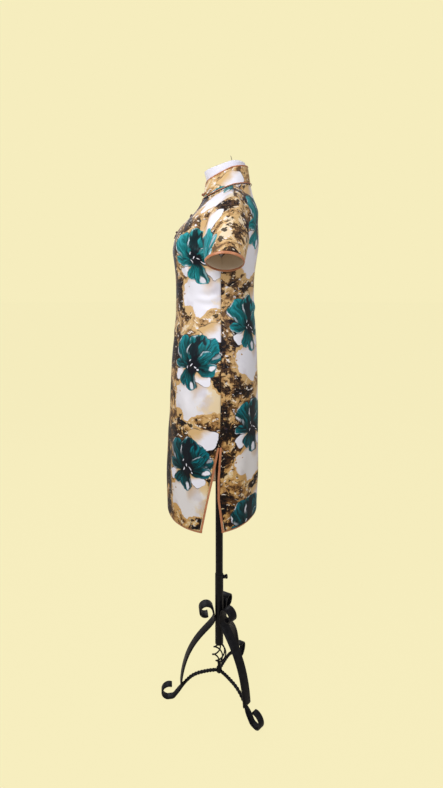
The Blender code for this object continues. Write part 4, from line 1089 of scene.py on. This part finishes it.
def neck_ring(turn, lift=0.0, out=0.0, lean=0.0):
    """The neckline at angles from the centre front, raised, moved out, and drawn in with height."""
    turn = np.asarray(turn, float)
    share = np.abs(turn) / math.pi * 2
    s = np.where(share <= 1, share, 2 - share) * NECK_SHARE
    ring = np.where((share <= 1)[:, None], top_curve(NECK_FRONT, s), top_curve(NECK_BACK, s))
    ring[:, 0] = np.abs(ring[:, 0]) * np.sign(turn)
    middle = np.array([0.0, (NECK_FRONT[1] + NECK_BACK[1]) / 2, 0.0])
    away = unit((ring - middle) * [1, 1, 0])
    ring = ring + away * (out - lean * np.broadcast_to(lift, turn.shape)[:, None])
    ring[:, 2] += lift
    return ring


def neck_away(turn):
    """Which way is out from the neck at angles from the centre front."""
    return neck_ring(turn, 0.0, 1.0) - neck_ring(turn)


def collar_lift(turn, share):
    """The collar's height at an angle: its top falls in a round corner to the opening at the front."""
    corner = np.clip((np.abs(turn) - COLLAR_GAP) / COLLAR_CORNER, 0, 1)
    full = COLLAR_HEIGHT * (COLLAR_FRONT + (1 - COLLAR_FRONT) * np.sqrt(1 - (1 - corner) ** 2))
    return COLLAR_BASE + (full - COLLAR_BASE) * share


def build_collar():
    corner_end = COLLAR_GAP + COLLAR_CORNER
    turn = np.append(np.linspace(COLLAR_GAP, corner_end, 24)[:-1], np.linspace(corner_end, math.pi, 80))
    turn = np.concatenate([turn, -turn[:-1][::-1]])
    away = neck_away(turn)
    wave = 0.0004 * np.sin(turn * 3.0 + 0.5) + 0.0003 * np.sin(turn * 7.0)
    shares = np.linspace(0, COLLAR_CLOTH_TOP, COLLAR_ROWS)
    rings = []
    for share in shares:
        ring = neck_ring(turn, collar_lift(turn, share), 0.0, COLLAR_LEAN)
        rings.append(ring + away * (wave * share + 0.0002)[:, None])
    u = np.broadcast_to(lengths_along(rings[0]), (COLLAR_ROWS, len(turn)))
    v = collar_lift(turn, 0.0) + shares[:, None] * collar_lift(turn, 1.0)
    places = np.stack([u, v], -1) + COLLAR_SHIFT
    collar = cloth_piece("collar_cloth", rings, (PALE_PRINT, REVERSE), places, COLLAR_WALL)
    edge = neck_ring(turn, collar_lift(turn, COLLAR_CLOTH_TOP), BINDING / 2, COLLAR_LEAN)
    edge += unit(np.cross(away, np.gradient(edge, axis=0))) * (COLLAR_EDGE + SEAM)
    top = tube("collar_top_satin", resampled(edge, 220), COLLAR_EDGE, COPPER, around=14)
    base = np.concatenate([np.linspace(COLLAR_GAP, math.pi, 60), -np.linspace(math.pi, COLLAR_GAP, 60)[1:]])
    seam = neck_ring(base, 0.0028, BINDING + PIPING + SEAM + 0.0006)
    piping = tube("collar_seam_cord", resampled(seam, 200), PIPING, COPPER, around=10)
    finished(top, "figure", "copper_satin", "collar_top_binding")
    finished(piping, "figure", "copper_satin", "collar_seam_piping")
    return finished(collar, "figure", "printed_satin", "collar")


# ---------------------------------------------------------------- knotted fastenings
# Along a fastening: its knot, then the near and far ends of its two doubled cords.
COLLAR_SPOTS = (0.0, (0.0048, 0.020), (-0.0048, -0.020))
CHEST_SPOTS = (-0.0052, (0.0032, 0.0165), (-0.0100, -0.0205))
EDGE_POINTS = 61
CHEST_PLACES = (17, 33, 50)  # the points of the overlap's edge that the chest fastenings cross
KNOT_POINTS, KNOT_AROUND = 190, 8


def rounded_knot(name, middle, normal, radius, mat):
    """A ball of interlaced cord: three rolled loops round a core, each turned a third of the way round."""
    side = unit(np.cross(normal, (0.0, 0.3, 1.0)))
    axes = np.array([side, np.cross(normal, side), normal])
    # A closed curve over the ball that crosses itself the way a knotted cord does.
    t = full_turn(KNOT_POINTS)
    lean = 0.95 * np.sin(3 * t)
    ways = np.stack([np.cos(2 * t) * np.cos(lean), np.sin(2 * t) * np.cos(lean), np.sin(lean)], 1)
    line = ways @ axes * (radius * 0.74 * (1 + 0.10 * np.cos(6 * t + 0.5)))[:, None]
    tangent = unit(np.roll(line, -1, 0) - np.roll(line, 1, 0))
    out = unit(line)
    out = unit(out - tangent * (out * tangent).sum(1, keepdims=True))
    a = full_turn(KNOT_AROUND)
    section = np.cos(a)[:, None] * out[:, None] + np.sin(a)[:, None] * np.cross(tangent, out)[:, None]
    rings = line[:, None] + radius * 0.30 * section
    places = cord_places(lengths_along(line), a).reshape(-1, 2)
    # The core that shows between its loops.
    tilt, way = np.linspace(0, math.pi, 7)[:, None], full_turn(12)
    flat, height = np.sin(tilt), np.broadcast_to(np.cos(tilt), (7, 12))
    core = np.stack([flat * np.cos(way), flat * np.sin(way), height], -1)
    core = (core @ axes * radius * 0.80).reshape(-1, 3)
    start = KNOT_POINTS * KNOT_AROUND
    faces = grid_faces(KNOT_POINTS, KNOT_AROUND, closed=True, looped=True)
    faces += [tuple(start + number for number in face) for face in grid_faces(7, 12, closed=True)]
    points = np.concatenate([rings.reshape(-1, 3), core]) + middle
    uv = np.concatenate([places, np.zeros((len(core), 2))])
    return facing_out(mesh_piece(name, points, faces, [mat], uv))


def fastening(name, surface, mat, slot, spots):
    """A knotted button and two doubled cords that lie on the cloth."""
    knot_at, loop, tail = spots
    half = FROG_CORD * 1.08
    for word, (near, far) in (("loop", loop), ("tail", tail)):
        way = 1 if far > near else -1
        bend = far - way * half
        straight = [(near + (bend - near) * t, -half) for t in np.linspace(0, 1, 16)[:-1]]
        angles = np.radians(np.linspace(-90, 90, 13))
        turned = [(bend + way * half * math.cos(a), half * math.sin(a)) for a in angles]
        points = []
        for along, across in straight + turned + [(along, half) for along, _ in reversed(straight)]:
            point, normal = surface(along, across)
            wobble = 0.0002 * math.sin(along * 900 + across * 400)
            points.append(point + normal * (FROG_CORD + SEAM + wobble))
        cord = tube(f"{name}_{word}_cord", resampled(np.array(points), 90), FROG_CORD, mat)
        finished(cord, "figure", slot, f"{name}_{word}")
    point, normal = surface(knot_at, 0.0)
    knot = rounded_knot(f"{name}_ball", point + normal * (FROG_KNOT + SEAM), normal, FROG_KNOT, mat)
    finished(knot, "figure", slot, f"{name}_knot")


def collar_surface(along, across):
    """A point on the collar's outer face, from the centre front round to the left and up."""
    ring = neck_ring([along / COLLAR_RADIUS, 0.0], FASTENING_RISE + across, 0.0, COLLAR_LEAN)
    away = unit(ring[0] - [0.0, ring[1][1] + COLLAR_RADIUS, ring[0][2]])
    return ring[0] + away * (BINDING + SEAM + 0.0002), away


def chest_place(x, z):
    """The point of the front panel at this X and Z, and its normal, found by Newton's steps."""
    share, level = 0.2, 10.0
    for _ in range(30):
        here = panel_points("front", [share, share + PROBE], [level, level + PROBE])[..., [0, 2]]
        slopes = np.array([here[0, 1] - here[0, 0], here[1, 0] - here[0, 0]]) / PROBE
        turn = np.linalg.solve(slopes.T, np.array([x, z]) - here[0, 0])
        share += float(np.clip(turn[0], -0.2, 0.2))
        level = float(np.clip(level + np.clip(turn[1], -1, 1), UNDERARM_LEVEL, TOP_LEVEL - 0.002))
    points, normals = cloth_rows("front", [np.array([share])], [level])
    return points[0, 0], normals[0, 0]


def chest_surface(number):
    """The chest round one point of the overlap's edge: along runs square to the edge, to the front panel."""
    line = overlap_line(EDGE_POINTS)
    start, slope = line[number], line[number + 1] - line[number - 1]
    edge = unit(slope)
    square = np.array([-edge[1], edge[0]])

    def surface(along, across):
        x, z = start + square * along + edge * across
        point, normal = chest_place(x, z)
        return point + normal * (CLOTH + CLOTH_OUT + SEAM), normal

    return surface


def build_fastenings():
    fastening("collar_fastening", collar_surface, COPPER_CORD, "copper_satin", COLLAR_SPOTS)
    for number, place_on_edge in enumerate(CHEST_PLACES, 1):
        fastening(f"chest_fastening_{number}", chest_surface(place_on_edge), WINE, "wine_cord", CHEST_SPOTS)


# ---------------------------------------------------------------- the form
NECK_RISE = 0.067
NECK_TOP_TILT = -0.16
NECK_FLARE, NECK_FLARE_START = 0.50, 0.044
NECK_INSET, NECK_LEAN, NECK_CENTRE_Y = 0.0035, 0.16, 0.040
NECK_FOLDING = {"size": (0.062, NECK_RISE), "wave": (0.6, 4.0, 1.0)}  # 6.2 cm for a radian round
PIN_LINE = ((0.004, 0.036, 0.0), (0.0034, 0.0355, 0.005), (0.0024, 0.0345, 0.010), (0.001, 0.033, 0.015))
PIN_RADIUS = 0.0008
# The dome on top, from the brim to its middle: how far inward, and how high above the brim.
NECK_DOME = ((0.03, 0.0016), (0.07, 0.0029), (0.12, 0.0040), (0.22, 0.0065), (0.35, 0.0090), (0.50, 0.0114),
             (0.65, 0.0130), (0.80, 0.0141), (0.90, 0.0145), (0.97, 0.0147))
# Wrinkles of the form's cover: from (turn, share of the height) to the same, half width and height.
NECK_WRINKLES = (
    (0.30, 0.55, 1.25, 0.88, 0.0022, 0.0009),
    (0.75, 0.62, 1.60, 0.74, 0.0018, 0.0008),
    (1.30, 0.92, 2.20, 0.70, 0.0024, 0.0010),
    (2.00, 0.85, 2.90, 0.66, 0.0020, 0.0008),
    (-0.40, 0.60, -1.30, 0.90, 0.0022, 0.0009),
    (-1.20, 0.70, -2.10, 0.82, 0.0020, 0.0009),
    (-2.00, 0.92, -2.80, 0.72, 0.0024, 0.0008),
    (1.75, 0.60, 2.60, 0.92, 0.0017, 0.0007),
)


def build_neck():
    """The form's covered neck, wrinkled above the collar, and the wire that stands on it."""
    turn = full_turn(128) - math.pi + 1e-6
    rings = []
    for share in np.linspace(0, 1, 40):
        rise = 0.0010 + NECK_RISE * share
        ring = neck_ring(turn, rise, -NECK_INSET, NECK_LEAN)
        ring[:, 1] -= NECK_FLARE * np.clip(np.cos(turn), 0, 1) * max(rise - NECK_FLARE_START, 0)
        ring[:, 2] += NECK_TOP_TILT * (ring[:, 1] - 0.02) * share
        lift = 0.00015 * np.sin(turn * 9 + share * 14)
        lift += crease_lift(NECK_WRINKLES, turn, share, **NECK_FOLDING)
        in_sight = np.clip((share - 0.55) / 0.1, 0, 1)
        rings.append(ring + neck_away(turn) * (lift * in_sight)[:, None])
    brim = rings[-1]
    middle = np.array([0.0, NECK_CENTRE_Y, brim[:, 2].mean()])
    for inward, rise in NECK_DOME:
        ring = brim + (middle - brim) * [inward, inward, inward * 0.6]
        ring[:, 2] += rise + 0.0004 * np.sin(turn * 5 + inward * 9) * (1 - inward)
        rings.append(ring)
    neck = lofted_piece("form_neck_cover", np.array(rings), [JERSEY])
    finished(neck, "figure", "white_jersey", "form_neck")
    pin = smooth_line(np.array(PIN_LINE) + [0.0, 0.0, float(rings[-1][:, 2].max())], 6)
    finished(tube("neck_wire", pin, PIN_RADIUS, WIRE, around=10), "figure", "pin_steel", "neck_pin")


# ---------------------------------------------------------------- the stand
BAR_STEPS, FINER = 30, 7  # the solid's bar has this many steps before its foot; each is so many here
POLE_TOP, TUBE_FLOOR = 1.080, 0.186
CAGE_WIRES, CAGE_TURN, CAGE_END = 4, math.radians(210), 0.0050
CLAMP_BORE, CLAMP_OUTER, CLAMP_END, CLAMP_EDGE = 0.0035, 0.0062, 0.0183, 0.0007
KNOB = (
    (0.0, 0.0275), (0.0040, 0.0275), (0.0056, 0.0271), (0.0068, 0.0262), (0.0072, 0.0253), (0.0072, 0.0216),
    (0.0068, 0.0207), (0.0058, 0.0199), (0.0046, 0.0193), (0.0034, 0.0190), (0.0030, 0.0186),
    (0.0030, POLE_RADIUS + SEAM), (0.0, POLE_RADIUS + SEAM),
)
HUB = (
    (0.0, CAGE_BOTTOM - CAGE_WIRE), (0.0054, CAGE_BOTTOM - CAGE_WIRE), (0.0062, 0.1105), (0.0061, 0.1088),
    (0.0054, 0.1060), (0.0052, 0.1030), (0.0053, 0.0995), (0.0060, 0.0955), (0.0076, 0.0928),
    (0.0086, 0.0915), (0.0090, 0.0900), (0.0090, 0.0780), (0.0087, 0.0764), (0.0078, 0.0748),
    (0.0060, 0.0730), (0.0, 0.0730),
)


def turned_piece(name, profile, around=48, closed=False, smooth_angle=35):
    """A solid of revolution about Z from (radius, height); a closed profile makes a ring."""
    turn = full_turn(around)
    rings = [np.stack([r * np.cos(turn), r * np.sin(turn), np.full(around, z)], 1) for r, z in profile]
    faces = grid_faces(len(profile), around, closed=True, looped=closed)
    obj = facing_out(mesh_piece(name, rings, faces, [IRON]), weld=1e-6)
    obj.data.set_sharp_from_angle(angle=math.radians(smooth_angle))
    return obj


def laid_along_y(obj, height):
    """Turns a piece made about Z so that its axis points along +Y at this height."""
    for vertex in obj.data.vertices:
        x, y, z = np.array(vertex.co) - AXIS
        vertex.co = np.array([x, z, -y + height]) + AXIS
    return facing_out(obj)


def pole_profile(radius, low, high, edge=0.0008):
    inner = radius - edge
    return ((0.0, low), (inner, low), (radius, low + edge), (radius, high - edge), (inner, high), (0.0, high))


def scroll(middle_r, middle_z, first, last, start, end, steps=60):
    """A spiral in a leg's plane: its middle, its first and last radius and its angles in degrees."""
    angle, radius = np.radians(np.linspace(start, end, steps)), np.linspace(first, last, steps)
    return np.stack([middle_r + radius * np.cos(angle), middle_z + radius * np.sin(angle)], 1)


def bar_section(wide, thick, edge=0.0009):
    """Points round a bar's section, its edges rounded."""
    points = []
    for number, (x, y) in enumerate(((1, 1), (-1, 1), (-1, -1), (1, -1))):
        for t in (0.0, 0.5, 1.0):
            a = (number + t) * math.pi / 2
            across, up = x * (wide / 2 - edge), y * (thick / 2 - edge)
            points.append((across + edge * math.cos(a), up + edge * math.sin(a)))
    return np.array(points)


def swept_bar(name, node, line, widths, thicks, twists, turn):
    """A forged bar along a line in a leg's plane, whose turn is in degrees."""
    along = unit(np.gradient(line, axis=0))
    along[line[:, 1] <= line[:, 1].min() + 1e-6] = (1.0, 0.0)
    c, s = math.cos(math.radians(turn)), math.sin(math.radians(turn))
    radial, sideways, up = np.array([(c, s, 0.0), (-s, c, 0.0), (0.0, 0.0, 1.0)])
    rings = []
    for (r, z), (dr, dz), wide, thick, twist in zip(line, along, widths, thicks, twists):
        normal = dr * up - dz * radial
        c, s = math.cos(twist), math.sin(twist)
        section = bar_section(wide, thick) @ [sideways * c + normal * s, normal * c - sideways * s]
        rings.append(radial * r + up * z + section)
    obj = lofted_piece(name, np.array(rings), [IRON])
    obj.data.set_sharp_from_angle(angle=math.radians(50))
    return finished(obj, "base", "black_iron", node)


def build_leg(letter, turn):
    """A leg's scrolled strap, and its twisted bar that flattens into a scrolled foot."""
    strap = resampled(np.concatenate([scroll(*STRAP_SCROLL), smooth_line(STRAP_LINE, 12)]), 150)
    same = np.ones(len(strap))
    sizes = (same * STRAP_WIDTH, same * STRAP_THICK, same * 0.0)
    swept_bar(f"strap_{letter}", f"leg_strap_{letter}", strap, *sizes, turn)
    twisted = resampled(smooth_line(BAR_LINE, 12), BAR_STEPS * FINER + 1)
    foot = np.concatenate([twisted[-1:], scroll(*FOOT_SCROLL)])
    foot[:, 1] = np.maximum(foot[:, 1], foot[:, 1].min() + FOOT_FLAT)
    line = np.concatenate([twisted[:-1], foot])
    step = np.arange(len(line)) / FINER
    share = np.clip((step - TWISTED_STEPS) / (BAR_STEPS - TWISTED_STEPS), 0, 1)
    flat = share**2 * (3 - 2 * share)
    wide = BAR_SIDE + (FOOT_WIDTH - BAR_SIDE) * flat
    thick = BAR_SIDE + (FOOT_THICK - BAR_SIDE) * flat
    twist = np.minimum(step, TWISTED_STEPS) * TWIST_STEP
    swept_bar(f"bar_{letter}", f"leg_bar_{letter}", line, wide, thick, twist, turn)


def build_cage():
    """Four wires that wind from the tube down to the hub, bellied out between."""
    share = np.linspace(0, 1, 60)
    radius = CAGE_END + (CAGE_RADIUS - CAGE_END) * np.sin(math.pi * share) ** 0.85
    height = CAGE_BOTTOM + SEAM + (TUBE_BOTTOM - CAGE_BOTTOM - 2 * SEAM - 0.002) * share
    for number in range(CAGE_WIRES):
        angle = number * 2 * math.pi / CAGE_WIRES + share * CAGE_TURN
        points = np.stack([radius * np.cos(angle), radius * np.sin(angle), height], 1)
        wire = tube(f"basket_wire_{number + 1}", points, CAGE_WIRE, IRON, around=14)
        finished(wire, "base", "black_iron", f"cage_wire_{number + 1}")


def build_stand():
    tube_profile = (
        (0.0, TUBE_FLOOR), (TUBE_BORE, TUBE_FLOOR), (TUBE_BORE, TUBE_TOP - 0.0004),
        (TUBE_BORE + 0.0004, TUBE_TOP), (TUBE_RADIUS - 0.0004, TUBE_TOP), (TUBE_RADIUS, TUBE_TOP - 0.0005),
        (TUBE_RADIUS, TUBE_BOTTOM + 0.0008), (TUBE_RADIUS - 0.0008, TUBE_BOTTOM), (0.0, TUBE_BOTTOM),
    )
    low, high = TUBE_RADIUS + SEAM, CLAMP_END
    boss_profile = (
        (CLAMP_BORE, low), (CLAMP_OUTER, low), (CLAMP_OUTER, high - CLAMP_EDGE),
        (CLAMP_OUTER - CLAMP_EDGE, high), (CLAMP_BORE + 0.0003, high), (CLAMP_BORE, high - 0.0003),
    )
    pole = turned_piece("pole", pole_profile(POLE_RADIUS, POLE_BOTTOM, POLE_TOP))
    sleeve = turned_piece("pole_sleeve", tube_profile)
    boss = laid_along_y(turned_piece("clamp_socket", boss_profile, 40, closed=True), CLAMP_HEIGHT)
    knob = laid_along_y(turned_piece("clamp_screw", KNOB, 40, smooth_angle=50), CLAMP_HEIGHT)
    hub = turned_piece("centre_hub", HUB, smooth_angle=50)
    finished(pole, "mast", "black_iron", "inner_pole")
    finished(sleeve, "base", "black_iron", "outer_tube")
    finished(boss, "base", "black_iron", "clamp_boss")
    finished(knob, "knob", "black_iron", "clamp_knob")
    finished(hub, "base", "black_iron", "hub")
    build_cage()
    for letter, turn in zip("abc", LEG_TURNS):
        build_leg(letter, turn)


front_levels = rows_for("front")
cuts = [overlap_share(level) if level >= UNDERARM_LEVEL else None for level in front_levels]
front = build_front(front_levels, cuts)
underlap = build_underlap(front_levels, cuts)
back = build_back()
front_binding, back_binding = hem_binding("front"), hem_binding("back")
left_sleeve, left_binding = build_sleeve("left_sleeve", 1)
right_sleeve, right_binding = build_sleeve("right_sleeve", -1)
collar = build_collar()
build_fastenings()
build_neck()
build_stand()
# Two CAD nodes keep their own shape and take only a finish.
for name, finish in (("form_torso", JERSEY), ("form_flange", IRON)):
    for slot in bpy.data.objects[name].material_slots:
        slot.material = finish

# ---------------------------------------------------------------- stage, light and camera
BACKDROP = srgb(246, 237, 190)
WORLD_LIGHT, FLOOR_GLOW, FLOOR_RADIUS = 0.46, 0.968, 60
CAMERA_DISTANCE, CAMERA_HEIGHT = 1.3215, 1.337
CAMERA_TURN, CAMERA_DOWN = math.radians(82.5), math.radians(7.52)
LENS, SHIFT_X, SHIFT_Y = 20.1015, 0.0029, -0.056


def studio_world():
    """A plain backdrop to the camera, and soft light, warmer from below, to everything else."""
    world = bpy.data.worlds.new("studio")
    world.use_nodes = True
    n = Nodes(world.node_tree)
    upward = n.parts(n.made("ShaderNodeTexCoord", output="Generated"))[2]
    tint = n.mix(n.step(upward, -0.5, 0.5), (1.0, 0.90, 0.76), (0.95, 0.95, 1.0))
    light = n.made("ShaderNodeBackground", {"Color": tint, "Strength": WORLD_LIGHT})
    backdrop = world.node_tree.nodes["Background"]
    backdrop.inputs["Color"].default_value = (*BACKDROP, 1.0)
    seen = n.made("ShaderNodeLightPath", output="Is Camera Ray")
    both = n.made("ShaderNodeMixShader", {0: seen, 1: light, 2: backdrop.outputs[0]})
    n.join(both, world.node_tree.nodes["World Output"].inputs["Surface"])
    return world


def build_stage():
    """A wide floor that glows evenly, so that it looks as plain and pale as the backdrop."""
    n = Material("pale_floor", 1.0, 0.0)
    n.shader["Base Color"].default_value = (*[value * 0.05 for value in BACKDROP], 1.0)
    n.shader["Emission Color"].default_value = (*BACKDROP, 1.0)
    n.shader["Emission Strength"].default_value = FLOOR_GLOW
    turn = full_turn(96)
    rim = np.stack([FLOOR_RADIUS * np.cos(turn), FLOOR_RADIUS * np.sin(turn), np.full(96, -AXIS[2])], 1)
    floor = mesh_piece("floor", rim, [tuple(range(96))], [n.material], smooth=False)
    floor.visible_diffuse = False
    floor.visible_glossy = False


def lamp(name, place, target, power, size, colour):
    """A square soft light."""
    data = bpy.data.lights.new(name, "AREA")
    data.energy, data.size, data.color = power, size, colour
    obj = linked(name, data)
    obj.location = place
    obj.rotation_mode = "QUATERNION"
    obj.rotation_quaternion = (Vector(target) - Vector(place)).to_track_quat("-Z", "Y")


def build_camera():
    data = bpy.data.cameras.new("camera")
    data.sensor_width = 36.0
    data.lens = LENS
    data.shift_x, data.shift_y = SHIFT_X, SHIFT_Y
    obj = linked("camera", data)
    across = CAMERA_DISTANCE * np.array([math.sin(CAMERA_TURN), -math.cos(CAMERA_TURN), 0.0])
    obj.location = AXIS + across + [0.0, 0.0, CAMERA_HEIGHT]
    obj.rotation_euler = (math.radians(90) - CAMERA_DOWN, 0.0, CAMERA_TURN)
    bpy.context.scene.camera = obj


bpy.context.scene.view_settings.view_transform = "Standard"
bpy.context.scene.world = studio_world()
build_stage()
lamp("key", (1.15, -0.95, 2.25), (0.0, 0.0, 1.42), 21.0, 0.9, (1.0, 0.985, 0.99))
lamp("fill", (2.0, 1.2, 2.2), (0.0, 0.0, 1.35), 11.0, 1.4, (0.97, 0.97, 1.0))
lamp("far", (-2.4, -0.6, 2.4), (0.0, 0.0, 1.2), 18.0, 2.0, (0.97, 0.97, 1.0))
build_camera()

bpy.context.view_layer.update()
